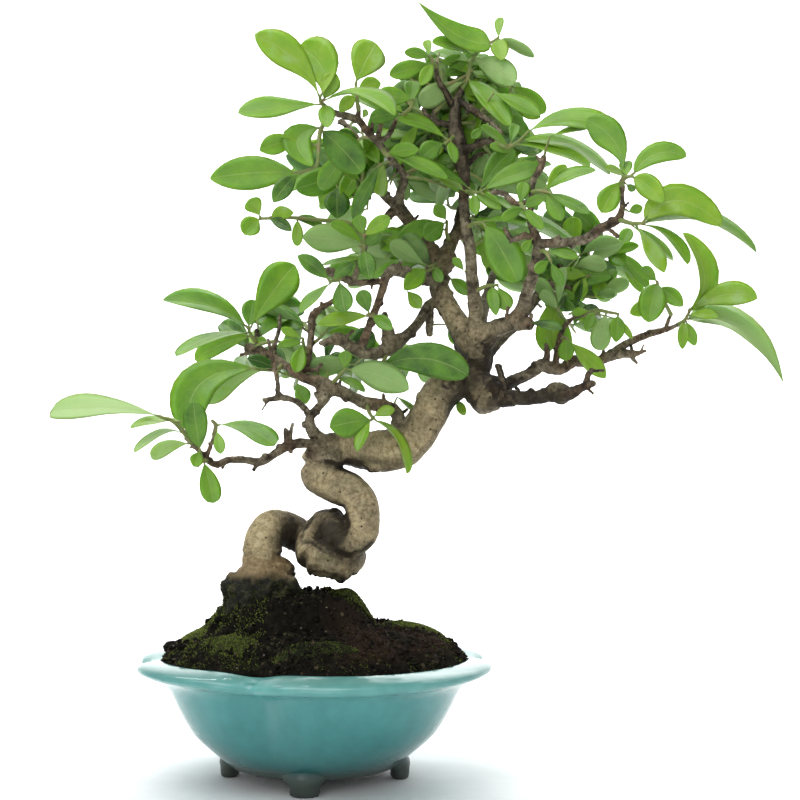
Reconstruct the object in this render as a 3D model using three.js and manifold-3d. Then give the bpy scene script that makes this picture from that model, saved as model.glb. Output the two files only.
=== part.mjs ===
// Border privet bonsai growing in a lobed, turquoise-glazed pot.
// Millimetres, +Z up. The plant is laid out around the middle of the pot, with X to the
// right, Y away from the front and the feet on Z = 0, and is then moved so that the
// middle of its bounding box stands over the origin.
import * as THREE from "three";
import Module from "manifold-3d";

const wasm = await Module();
wasm.setup();

// Driving dimensions of the pot
const potWidth = 150; // across the widest pair of lobes
const rimTop = 50.4; // inner edge of the rim above the ground
const floorTop = 10.5; // inside floor of the pot
const baseBottom = 5.6; // underside of the base, carried clear of the ground by the feet
const footRing = 36; // from the middle of the pot to the middle of each foot
const footTurn = -94; // degrees from +X to the front foot
const drainHole = { radius: 5.5, offset: 17 };
const outlineSteps = 36;

// Clearances
const seatGap = 0.3; // between two pieces that touch
const soilGap = 0.5; // between the root ball and the pot's wall
const woodMargin = 0.38; // leaves about the same gap at the flats of a limb

// Leaves and shoots
const leafThickness = 0.7;
const leafSlender = 0.3; // least real width of a blade, as a share of its length
const petioleRadius = 0.5;
const shootRadius = 0.9;
const leastLeafGap = 0.35; // between leaves of two sprays
const leastKept = 0.8; // share of a leaf that must stay free of the wood

// Places on the plant are given as they look from the front: x and z where the point
// appears on the upright plane through the middle of the pot, and y, its real depth.
const eye = new THREE.Vector3(36.2, -600, 134);

function seen(x, z, y) {
  return eye.clone().lerp(new THREE.Vector3(x, 0, z), 1 - y / eye.y);
}

// Solids

function loft(rings, start, end) {
  const points = [start, ...rings.flat(), end];
  const count = rings[0].length;
  const last = points.length - 1;
  const corner = (ring, i) => 1 + ring * count + (i % count);
  const index = [];
  for (let i = 0; i < count; i++) {
    index.push(0, corner(0, i + 1), corner(0, i));
    index.push(last, corner(rings.length - 1, i), corner(rings.length - 1, i + 1));
    for (let r = 0; r < rings.length - 1; r++) {
      index.push(corner(r, i), corner(r, i + 1), corner(r + 1, i + 1));
      index.push(corner(r, i), corner(r + 1, i + 1), corner(r + 1, i));
    }
  }
  const geometry = new THREE.BufferGeometry().setFromPoints(points);
  geometry.setIndex(index);
  return geometry;
}

function solidOf(geometry) {
  return new wasm.Manifold(
    new wasm.Mesh({
      numProp: 3,
      vertProperties: new Float32Array(geometry.getAttribute("position").array),
      triVerts: new Uint32Array(geometry.getIndex().array),
    }),
  );
}

function geometryOf(solid) {
  const mesh = solid.getMesh();
  const geometry = new THREE.BufferGeometry();
  geometry.setAttribute("position", new THREE.BufferAttribute(mesh.vertProperties, 3));
  geometry.setIndex(new THREE.BufferAttribute(mesh.triVerts, 1));
  return geometry;
}

// A closed geometry with its vertices rounded to a step and doubled ones made one
function weldedGeometry(geometry, step) {
  const position = geometry.getAttribute("position");
  const index = geometry.getIndex()?.array ?? [...Array(position.count).keys()];
  const keys = new Map();
  const points = [];
  const renamed = Array.from({ length: position.count }, (_, i) => {
    const p = new THREE.Vector3().fromBufferAttribute(position, i);
    const places = p.toArray().map((v) => Math.round(v / step));
    const key = places.join();
    if (!keys.has(key)) {
      keys.set(key, points.length);
      points.push(new THREE.Vector3(...places).multiplyScalar(step));
    }
    return keys.get(key);
  });
  const faces = [];
  for (let i = 0; i < index.length; i += 3) {
    const face = [renamed[index[i]], renamed[index[i + 1]], renamed[index[i + 2]]];
    if (new Set(face).size === 3) faces.push(...face);
  }
  const welded = new THREE.BufferGeometry().setFromPoints(points);
  welded.setIndex(faces);
  return welded;
}

function weld(geometry) {
  return solidOf(weldedGeometry(geometry, 1e-4));
}

function joined(solids) {
  return solids.reduce((whole, solid) => whole.add(solid));
}

function largestPart(solid) {
  return solid.decompose().reduce((a, b) => (b.volume() > a.volume() ? b : a));
}

// A solid with its vertices on a fine grid and doubled ones made one, or null where
// that leaves anything but a single closed body
const grid = 0.002;

function onGrid(solid) {
  const snapped = weldedGeometry(geometryOf(solid), grid);
  const index = snapped.getIndex().array;
  const edges = new Set();
  for (let i = 0; i < index.length; i += 3) {
    for (let k = 0; k < 3; k++) edges.add(`${index[i + k]} ${index[i + ((k + 1) % 3)]}`);
  }
  if (edges.size !== index.length) return null;
  try {
    const bodies = solidOf(snapped).decompose();
    return bodies.length === 1 && bodies[0].volume() > 0 ? bodies[0] : null;
  } catch {
    return null;
  }
}

// A round limb along points [x, z, y, radius], grown all round by a margin
function limb(route, sides, ringsPerPoint = 1, margin = 0) {
  const curve = new THREE.CatmullRomCurve3(route.map(([x, z, y]) => seen(x, z, y)));
  const spans = route.length - 1;
  const steps = Math.round(spans * ringsPerPoint);
  const normal = new THREE.Vector3(0.31, 0.82, 0.48);
  const rings = [];
  for (let s = 0; s <= steps; s++) {
    const along = (s / steps) * spans;
    const from = Math.min(Math.floor(along), spans - 1);
    const radius = margin + THREE.MathUtils.lerp(route[from][3], route[from + 1][3], along - from);
    const tangent = curve.getTangent(s / steps);
    const middle = curve.getPoint(s / steps);
    if (s === 0) middle.addScaledVector(tangent, -margin);
    if (s === steps) middle.addScaledVector(tangent, margin);
    normal.addScaledVector(tangent, -normal.dot(tangent)).normalize();
    const binormal = tangent.clone().cross(normal);
    rings.push(
      Array.from({ length: sides }, (_, i) => {
        const turn = (i / sides) * 2 * Math.PI;
        return middle
          .clone()
          .addScaledVector(normal, radius * Math.cos(turn))
          .addScaledVector(binormal, radius * Math.sin(turn));
      }),
    );
  }
  const start = curve.getPoint(0).addScaledVector(curve.getTangent(0), -margin);
  const end = curve.getPoint(1).addScaledVector(curve.getTangent(1), 0.4 * route[spans][3] + margin);
  return solidOf(loft(rings, start, end));
}

// Pot

const notches = [
  new THREE.Vector2(-72.5, -8),
  new THREE.Vector2(-22, -60),
  new THREE.Vector2(72.5, 1),
  new THREE.Vector2(22, 53),
];
const lobeRise = { short: 15, long: 38 };

// Points of one lobe's arc from notch a to notch b, without b
function lobe(a, b, rise, steps) {
  const half = a.distanceTo(b) / 2;
  const radius = (half * half + rise * rise) / (2 * rise);
  const across = b.clone().sub(a).normalize();
  const out = new THREE.Vector2(across.y, -across.x);
  const centre = a.clone().add(b).multiplyScalar(0.5).addScaledVector(out, rise - radius);
  const spread = Math.atan2(half, radius - rise);
  return Array.from({ length: steps }, (_, i) => {
    const turn = spread * ((2 * i) / steps - 1);
    return centre
      .clone()
      .addScaledVector(across, radius * Math.sin(turn))
      .addScaledVector(out, radius * Math.cos(turn));
  });
}

const shortSteps = 7;
const longSteps = outlineSteps / 2 - shortSteps;
const rimOutline = notches.flatMap((notch, i) => {
  const isLong = i % 2 === 1;
  const rise = isLong ? lobeRise.long : lobeRise.short;
  return lobe(notch, notches[(i + 1) % 4], rise, isLong ? longSteps : shortSteps);
});
const meanRadius = 71.5;
const outlineHalf = Math.max(...rimOutline.map((p) => Math.abs(p.x)));

// The outline shrunk to a half width, and rounded off towards a circle by a share. The
// half widths below are those of a pot 150 mm wide.
function potRing(halfWidth, z, rounding) {
  const scale = (halfWidth / outlineHalf) * (potWidth / 150);
  return rimOutline.map((p) => {
    const radius = THREE.MathUtils.lerp(p.length(), meanRadius, rounding) * scale;
    const q = p.clone().setLength(radius);
    return new THREE.Vector3(q.x, q.y, z);
  });
}

// [half width, height, rounding] up the outside, over the rim and down the inside
const outerWall = [
  [35, baseBottom, 0.9],
  [39.5, 8.5, 0.8],
  [47, 15.5, 0.55],
  [52.5, 21, 0.4],
  [57, 29, 0.25],
  [61, 37.5, 0.12],
  [64.5, 42.6, 0],
  [70.5, 43, 0],
  [73.4, 44.5, 0],
  [74.2, 46.6, 0],
  [72.6, 48.8, 0],
  [69, 49.7, 0],
  [65.5, rimTop, 0],
];
const innerWall = [
  [63.6, 48, 0],
  [58, 37, 0.12],
  [51, 26, 0.35],
  [41, 15.5, 0.65],
  [30, floorTop, 0.9],
];

function foot(turn) {
  const out = new THREE.Vector2(Math.cos(turn), Math.sin(turn));
  const side = new THREE.Vector2(-out.y, out.x);
  const levels = [
    [0, 5, 4.5, 0.3],
    [1.6, 5.6, 5, 0.1],
    [4.4, 6, 5.2, -0.4],
    [7.4, 8.6, 6.4, -2],
    [11.5, 9.2, 6.6, -4],
  ];
  const rings = levels.map(([z, wide, deep, lean]) =>
    Array.from({ length: 10 }, (_, i) => {
      const a = (i / 10) * 2 * Math.PI;
      const reach = footRing + lean + deep * Math.cos(a);
      const x = out.x * reach + side.x * wide * Math.sin(a);
      const y = out.y * reach + side.y * wide * Math.sin(a);
      return new THREE.Vector3(x, y, z);
    }),
  );
  const axis = (z, lean) => {
    return new THREE.Vector3(out.x * (footRing + lean), out.y * (footRing + lean), z);
  };
  return solidOf(loft(rings, axis(0, 0), axis(11.5, -4)));
}

function cylinder(radius, x, y, bottom, top) {
  const geometry = new THREE.CylinderGeometry(radius, radius, top - bottom, 14);
  geometry.rotateX(Math.PI / 2);
  geometry.translate(x, y, (top + bottom) / 2);
  return weld(geometry);
}

function pot() {
  const rings = [...outerWall, ...innerWall].map((level) => potRing(...level));
  const bottom = new THREE.Vector3(0, 0, baseBottom);
  const shell = solidOf(loft(rings, bottom, new THREE.Vector3(0, 0, floorTop)));
  const feet = [0, 1, 2, 3].map((n) => foot(((footTurn + 90 * n) * Math.PI) / 180));
  const holes = [-1, 1].map((side) => {
    return cylinder(drainHole.radius, side * drainHole.offset, 0, 0, floorTop + 4);
  });
  // A foot reaches up into the wall, so the hollow is cut again after they are joined
  const hollow = solidOf(
    loft(
      innerWall.slice(2).reverse().map((level) => potRing(...level)),
      new THREE.Vector3(0, 0, floorTop),
      new THREE.Vector3(0, 0, innerWall[2][1]),
    ),
  );
  return joined([shell, ...feet]).subtract(joined([hollow, ...holes]));
}

// Soil

const soilRim = 64.6; // half width of the soil where it meets the rim
const apronRise = 13; // from the rim up to the shoulder of the mound
const crown = { x: -8, y: 2, wide: 31, deep: 27, rise: 13 };

// Height of the mound over a point, with share 0 at the pot's middle and 1 at its wall
function moundHeight(x, y, share) {
  const apron = apronRise * (1 - share ** 7);
  const distance = Math.hypot((x - crown.x) / crown.wide, (y - crown.y) / crown.deep);
  const top = 1 - THREE.MathUtils.smoothstep(distance, 0.72, 1.18);
  return rimTop + 0.3 + apron + crown.rise * top;
}

function moundRing(share) {
  return potRing(soilRim * share, 0, 0).map((p) => p.setZ(moundHeight(p.x, p.y, share)));
}

const drainPlate = { size: 18, thickness: 1, cells: 4, rib: 1.4 };
const soilFloor = floorTop + drainPlate.thickness + 2 * seatGap;

const moundShares = [1, 0.95, 0.86, 0.72, 0.54, 0.36, 0.18];

// Everything under the mound's surface, raised by a lift
function underMound(lift) {
  const raised = (share) => moundRing(share).map((p) => p.setZ(p.z + lift));
  const floor = moundRing(1).map((p) => p.setZ(rimTop - 12));
  const peak = new THREE.Vector3(0, 0, moundHeight(0, 0, 0) + lift);
  return solidOf(loft([floor, ...moundShares.map(raised)], new THREE.Vector3(0, 0, rimTop - 12), peak));
}

function soil(rootstock) {
  const inside = innerWall
    .slice(0, -1)
    .reverse()
    .map(([w, z, k]) => potRing(w - soilGap, Math.max(z + soilGap, soilFloor), k));
  const top = moundShares.map(moundRing);
  const bottom = new THREE.Vector3(0, 0, soilFloor);
  const peak = new THREE.Vector3(0, 0, moundHeight(0, 0, 0));
  return solidOf(loft([...inside, ...top], bottom, peak)).subtract(rootstock);
}

// A cushion of moss lying on the mound
function mossCushion({ x, y, wide, deep, turn = 0, height }, carrier) {
  const steps = 14;
  const at = (size, lift) =>
    Array.from({ length: steps }, (_, i) => {
      const a = (i / steps) * 2 * Math.PI;
      const ripple = 1 + 0.1 * Math.sin(3 * a + x) + 0.07 * Math.sin(5 * a + y);
      const u = wide * size * ripple * Math.cos(a);
      const v = deep * size * ripple * Math.sin(a);
      const px = x + u * Math.cos(turn) - v * Math.sin(turn);
      const py = y + u * Math.sin(turn) + v * Math.cos(turn);
      const edge = rimOutline.reduce((a, b) =>
        a.clone().normalize().dot(new THREE.Vector2(px, py)) >
        b.clone().normalize().dot(new THREE.Vector2(px, py))
          ? a
          : b,
      );
      const wall = (edge.length() / outlineHalf) * soilRim * (potWidth / 150);
      const share = Math.min(1, Math.hypot(px, py) / wall);
      return new THREE.Vector3(px, py, moundHeight(px, py, share) + lift);
    });
  const middle = (lift) => new THREE.Vector3(x, y, at(0, lift)[0].z);
  const rings = [at(0.9, -3), at(1, 0.3), at(0.82, height * 0.72), at(0.42, height)];
  const cushion = solidOf(loft(rings, middle(-3), middle(height)));
  return largestPart(cushion.subtract(carrier));
}

const mossCushions = {
  moss_left: { x: -50, y: -5, wide: 8, deep: 13, height: 2.6 },
  moss_left_front: { x: -33, y: -34, wide: 12, deep: 7, turn: -0.7, height: 2.4 },
  moss_front: { x: 3, y: -47, wide: 15, deep: 5, turn: 0.05, height: 2.2 },
  moss_ridge: { x: 44, y: 6, wide: 12, deep: 9, height: 2.6 },
  moss_crown: { x: 15, y: 4, wide: 9, deep: 10, height: 2.4 },
  moss_back: { x: 0, y: 42, wide: 20, deep: 9, height: 2.6 },
};

// Drainage under the soil

function slab(wide, thick, x, y, z) {
  const geometry = new THREE.BoxGeometry(wide, wide, thick);
  geometry.translate(x, y, z);
  return weld(geometry);
}

function drainScreen(side) {
  const { size, thickness, cells, rib } = drainPlate;
  const pitch = (size - rib) / cells;
  const x = side * drainHole.offset;
  const z = floorTop + seatGap + thickness / 2;
  const openings = [];
  for (let i = 0; i < cells; i++) {
    for (let j = 0; j < cells; j++) {
      const u = (i + 0.5 - cells / 2) * pitch;
      const v = (j + 0.5 - cells / 2) * pitch;
      openings.push(slab(pitch - rib, thickness + 2, x + u, v, z));
    }
  }
  return slab(size, thickness, x, 0, z).subtract(joined(openings));
}

// Wood: each limb is a list of [x, z, y, radius]

const trunkRoutes = [
  [
    [-22, 40, 0, 15], [-22.5, 58, 0, 17], [-23, 70, 0, 15.8], [-23, 79, 0, 15], [-22.5, 85.5, 0, 11.5],
    [-22.3, 89, 0, 8.8], [-22.5, 95, 0, 8.3], [-21.3, 101.5, 1, 8.3], [-17, 105, 5, 8], [-10, 103.5, 11, 7.5],
    [-3, 99.5, 16, 7.2], [5, 96, 18, 7.3], [12.5, 94, 14, 7.5], [15.5, 92.5, 7, 7.2],
  ],
  [[15.5, 92.5, 8, 6.6], [12, 91.4, -1, 8], [5, 91.4, -5, 8.2], [-0.8, 92.5, -4, 7.6]],
  [[-1, 92.5, -4, 7], [-2, 97.5, 1, 6.6], [0, 102.5, 4, 6.5], [4.5, 106.6, 3, 6.6], [8.8, 107.4, -1, 6.3]],
  [[8.8, 107.5, 0, 6], [8.8, 103, -5, 6.4], [10.5, 98.8, -8, 6.2]],
  [
    [10, 99, -8, 6], [15, 98.8, -9, 6.6], [19.5, 102.5, -8, 7.2], [20.4, 109, -7, 7.4],
    [19.2, 115.5, -5, 7.6], [15, 120.5, -3, 7.9], [8, 124, -1, 8.1], [2, 127.5, 1, 8.2], [-0.5, 132.3, 2, 7.2],
  ],
  [
    [-1, 131.8, 2, 6.4], [3.5, 137.6, 3, 6.6], [10, 139.2, 3, 7], [20, 138, 2, 8.2], [30, 138, 1, 9.3],
    [38, 140.2, 0, 9], [44.3, 146.3, 0, 8.2], [49, 154, 0, 7.9], [52.8, 161.5, 1, 8.2], [60, 167.3, 2, 7.8],
    [66.5, 170.8, 3, 7], [70, 177.5, 3, 6.4], [69.8, 186, 2, 6], [69.3, 194, 0, 3.8], [68, 205, -2, 2.9],
    [67, 216, -4, 2.7], [66, 227, -4, 2.6], [64.5, 236, -3, 2.4], [63.6, 246, -2, 2.2], [64, 256, 0, 2.4],
    [62.5, 264, 1, 3.6], [61, 272, 2, 3.8], [60, 280, 3, 2.8], [60.5, 288, 4, 2.3], [63, 294.5, 5, 1.5],
  ],
];
const limbRoutes = {
  knob: [[68, 167, 1, 6.5], [73.6, 162.3, -2, 8.8], [78.5, 161.3, -3, 5.6]],
  left_trunk: [
    [69.5, 178, 3, 6], [64.5, 186.5, 6, 5.4], [59.5, 195, 10, 5.1], [55, 203, 14, 4.9], [52.8, 211, 18, 4.4],
    [54.6, 219, 22, 3.7], [58, 227, 26, 3.2], [61.5, 234, 29, 2.7], [62, 240, 30, 2.1], [64, 246, 32, 1.6],
  ],
  right_limb: [
    [71, 184, 0, 5], [77, 190.5, -6, 4], [84, 193, -12, 3.4], [88.5, 199, -17, 2.8], [91, 206, -22, 2.6],
    [93.5, 214, -27, 2.5], [95.5, 222, -32, 2.4], [96, 228, -36, 2.2],
  ],
  right_stub: [[82, 192.5, -10, 3], [88, 192.5, -14, 2.9], [93, 192.3, -16, 2.4]],
  right_fan: [
    [95.8, 227, -36, 2.2], [103, 227.5, -42, 2], [110, 228, -47, 1.9], [117, 229.5, -52, 2.1],
    [123, 234, -56, 2], [130, 237.5, -60, 1.8], [132, 242, -62, 1.3], [132, 248, -63, 1], [132, 253.5, -64, 1.1],
  ],
  right_inner: [[96, 227, -36, 1.8], [90, 230.5, -36, 1.5], [84.5, 229, -35, 1.3], [81, 234, -34, 0.9]],
  right_riser: [
    [95.8, 228, -36, 1.8], [92.5, 237, -35, 1.5], [93, 246, -33, 1.4], [93.5, 254, -30, 1.3],
    [97, 260, -28, 1.6], [98.5, 265, -26, 1.2],
  ],
  right_riser_side: [[93, 245.5, -33, 1.3], [86, 244.8, -32, 1.2], [81, 249, -31, 1.3], [75.5, 249.5, -30, 1]],
  back_right: [
    [71.5, 177, 5, 3], [79, 185, 14, 2.3], [86, 192, 22, 2.3], [93, 201, 31, 2.3], [98, 207.5, 38, 2.1],
    [106, 208.5, 46, 1.8], [112, 205, 52, 1.4], [111.5, 199, 54, 1],
  ],
  back_right_tip: [[111, 206, 51, 1.3], [116, 212, 56, 1.2], [120, 218, 60, 1.2], [124, 223, 64, 0.9]],
  back_right_side: [[105.5, 208.5, 46, 1.3], [108, 215, 50, 1.1], [104, 218, 54, 0.9]],
  low_right: [
    [78, 161, -3, 4.6], [86, 160.5, -7, 3.3], [94, 160.6, -11, 2.9], [100, 162, -14, 3.2], [104.6, 162.6, -16, 4.8],
    [109.6, 162.6, -19, 2.7], [114, 165, -22, 1.9], [119.5, 167, -26, 1.5],
  ],
  low_right_spur: [[116, 165.8, -23, 1.6], [117, 170.5, -22, 1.3], [118.8, 173, -20, 1.1]],
  mid_right: [
    [77, 163.5, 0, 3], [86, 168.5, 6, 2.6], [92, 171, 9, 2.6], [97, 174.6, 12, 3.1], [101, 173.6, 14, 3.1],
    [106, 173.2, 17, 2.6], [110, 176.5, 20, 2.6], [115, 176, 23, 2.4], [121, 176.2, 26, 2.3], [126, 179, 28, 2.2],
    [132, 183, 31, 1.9], [138, 186, 34, 1.7], [145, 188.6, 37, 1.8], [151, 190.2, 40, 1.3], [157, 192.8, 42, 1],
  ],
  mid_right_spur: [[98.5, 175, 12, 2], [99.5, 180, 13, 1.4], [99, 184, 14, 1.1]],
  mid_right_torn: [[123, 177, 28, 2], [131, 179.5, 29, 2.3], [137, 179.6, 30, 1.6], [142, 181, 31, 0.6]],
  mid_right_hook: [[135.5, 178.6, 30, 1.2], [138, 175.3, 31, 0.7]],
  mid_right_twig: [
    [103, 175, 15, 1.6], [104, 183, 18, 1.4], [106, 190, 21, 1.2], [110, 194.5, 24, 1], [117, 197, 28, 0.8],
  ],
  mid_right_riser: [[150.5, 190.5, 39, 1.1], [151.7, 194, 38, 0.9], [153, 197, 37, 0.8]],
  cut_stub: [[82, 163, -6, 1.8], [80.2, 169, -8, 1.5], [78, 175, -10, 1.4]],
  left_limb: [
    [54, 203, 14, 2.6], [49, 200.5, 13, 2.3], [44, 193, 8, 2.2], [38, 186.5, 3, 2.5], [31.5, 181.5, -2, 3.2],
    [26, 179.6, -6, 2.5], [20, 180, -10, 2.4], [14, 183.5, -14, 2.4], [9, 186, -18, 2.7], [5, 184.8, -20, 1.5],
    [1.5, 184, -22, 1],
  ],
  left_knuckle: [[30.5, 179, -2, 3], [31.5, 186, -2, 3.5], [30, 193, -2, 2], [29.5, 197.5, -2, 1.2]],
  left_drop: [[49, 200, 13, 2.2], [48.7, 193, 15, 1.9], [49, 187.5, 16, 1.6]],
  pale_limb: [
    [18.5, 179.5, -10, 2.1], [22, 189, -13, 1.8], [25.5, 198, -16, 1.7], [28.5, 207, -15, 1.7],
    [31.3, 214.5, -12, 2.2], [38, 214.8, -2, 2.5], [47, 211.5, 8, 2.6], [53, 211, 17, 2.6],
  ],
  pale_side: [
    [29.8, 210.8, -14, 1.6], [24, 210.6, -16, 1.5], [17, 210.3, -18, 1.6], [11, 213, -21, 1.9],
    [5, 215, -24, 2], [1.5, 213.3, -26, 0.9],
  ],
  pale_riser: [
    [16, 211, -19, 1.4], [19.5, 220, -16, 1.3], [22, 229, -8, 1.5], [27, 234, 3, 1.7], [31.5, 239.5, 13, 2],
    [35.5, 243, 20, 2.4],
  ],
  upper_left: [
    [53.8, 218, 22, 3.5], [49, 226, 24, 3.1], [44, 233, 24, 2.8], [39, 238.5, 22, 3], [35.6, 243.5, 20, 3],
    [36.5, 250, 14, 1.9], [38, 256, 8, 1.7], [34, 262, 0, 1.5], [28.5, 269, -8, 1.5], [22, 276, -14, 1.6],
    [18, 281, -18, 1.7], [12, 283, -22, 1.6], [7, 284.5, -24, 1.3], [3, 287.5, -26, 1],
  ],
  upper_left_spur: [[37.6, 255.5, 8, 1.4], [40, 257.5, 6, 1]],
  upper_left_hook: [[26.5, 271, -10, 1.4], [31, 274, -8, 1.2], [33.5, 279, -6, 1.1], [35, 281.8, -4, 0.9]],
  upper_left_peg: [[26.3, 272, -10, 1.4], [28, 279.5, -11, 1]],
  upper_left_bud: [[18, 281.5, -18, 1.3], [18.5, 287.3, -18, 0.8]],
  back_left: [
    [34.5, 244, 20, 2.5], [29.5, 248, 26, 2.1], [27, 254, 32, 2], [24, 261, 38, 1.9], [20, 269, 44, 1.7],
    [15.5, 275.5, 48, 1.6], [10.5, 281, 52, 1.3],
  ],
  back_left_torn: [[27.3, 252, 30, 2], [22, 249.5, 26, 1.8], [15.5, 248, 22, 0.6]],
  back_left_hook: [[24, 250.2, 27, 1.7], [18, 243, 24, 0.6]],
  low_left: [
    [5, 139, 0, 3.4], [-3, 141, -6, 2.3], [-8, 141, -10, 2.1], [-13, 139.6, -14, 2.1], [-18, 136.2, -18, 1.9],
    [-23, 133.4, -21, 1.9], [-30, 134, -26, 1.6], [-37, 134, -30, 1.6], [-43, 132.2, -34, 1.5],
    [-47, 134.8, -36, 1.3], [-51, 139, -39, 0.9], [-56, 143.6, -43, 0.8],
  ],
  low_left_fork: [[-12, 140.5, -13, 1.6], [-13, 147.5, -14, 1]],
  low_left_prong: [[-11.5, 142, -13, 1.4], [-9.7, 150, -12, 0.7]],
  low_left_peg: [[-47, 135, -36, 1.2], [-50.8, 131.2, -36, 0.7]],
  low_left_twig: [[-46.8, 135, -36, 1.1], [-44.2, 142, -38, 0.9], [-42.8, 147, -40, 0.9]],
  mid_left: [[5, 140, 1, 3.4], [-1.5, 146.5, -3, 2.6], [-2.5, 152, -5, 2.1], [2, 157.5, -4, 1.8], [5.5, 164.5, 0, 3.5]],
  mid_left_knuckle: [[-1.5, 149, -3, 2.4], [-5.5, 149.3, -4, 1.6]],
  mid_left_arm: [
    [-2.5, 152.5, -5, 1.7], [-5, 156.5, -7, 1.5], [-9, 159.5, -9, 1.4], [-15, 160.6, -12, 1.3], [-22.4, 159.6, -16, 1.1],
  ],
  mid_left_stem: [[-16.3, 160.6, -12.5, 1.1], [-16.5, 169, -13, 1], [-18.5, 177, -14, 0.9], [-20.5, 186, -15, 0.8]],
  gnarled: [
    [36, 144, 1, 4.5], [36, 150, 1, 2.8], [34, 155, 2, 2.8], [28, 157.2, 2, 3.1], [21, 158.6, 2, 2.8],
    [15, 161.6, 1, 2.5], [8, 164.6, 0, 3.1], [2, 167.2, 2, 2.9], [-7, 170, 6, 1.9], [-12, 174, 9, 1.8],
    [-18, 177.6, 14, 2.1], [-24, 180.6, 18, 2.3], [-29.5, 182.3, 21, 2.6],
  ],
  gnarled_riser: [
    [-7, 169.5, 6, 1.8], [-4, 176, 8, 1.9], [-2.5, 183, 10, 1.6], [-1.8, 190, 12, 1.6], [-1.4, 195.7, 13, 1.9],
    [2, 199, 14, 1.6], [8.5, 203, 16, 1.1],
  ],
  gnarled_peg: [[-5, 173, 7, 1.2], [0.5, 173, 6, 1], [2.8, 175.5, 6, 0.9]],
  gnarled_stub: [[-25, 181.5, 19, 1.6], [-25.5, 190, 22, 1.1]],
  gnarled_twig: [[-18, 178.5, 14, 1.2], [-17.6, 184, 13, 1.1], [-16, 189, 13, 1], [-15.4, 196.5, 13, 0.8]],
  top_left: [[60, 285, 4, 1.7], [56, 293, 0, 1.4], [52.6, 299, -4, 1.2], [51.5, 306.3, -6, 1]],
  top_side: [[59.5, 278.5, 3, 1.7], [53, 280, 2, 1.4], [48, 283, 0, 1.2], [46, 286, -1, 0.9]],
  top_peg: [[50.7, 281, 1, 1.1], [51, 287, 1, 0.7]],
  top_right: [[61, 290, 4, 1.7], [68, 285, -2, 1.6], [74, 281, -6, 1.4], [80, 275.5, -10, 1]],
  knot_right: [[62, 267, 1, 2.4], [68, 269.3, -4, 1.7], [74, 271.5, -8, 1.3], [79, 272, -10, 1]],
  knot_twig: [[65, 261, 1, 1.4], [69.5, 265.5, 4, 1.1], [74, 266.3, 7, 0.8]],
  rear_low: [[62, 169, 6, 4], [55, 172, 30, 2.4], [49, 176, 52, 1.7], [45, 178, 68, 1]],
  rear_mid: [[70, 190, 4, 3], [73, 203, 30, 2.2], [77, 216, 55, 1.6], [79, 223, 72, 1]],
  rear_left: [[54, 213, 20, 3], [46, 214, 42, 2], [40, 217, 62, 1.5], [36, 222, 76, 1]],
  rear_top: [[61.5, 268, 3, 2.8], [64, 262, 30, 1.9], [74, 258, 52, 1.3], [80, 258, 66, 1]],
};

// The whole tree without its leaves, grown all round by a margin
function wood(margin) {
  const trunks = trunkRoutes.map((route) => limb(route, 9, 1.25, margin));
  const limbs = Object.values(limbRoutes).map((route) => {
    return limb(route, Math.max(...route.map((point) => point[3])) > 2.4 ? 6 : 4, 1, margin);
  });
  return joined([...trunks, ...limbs]);
}

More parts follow.
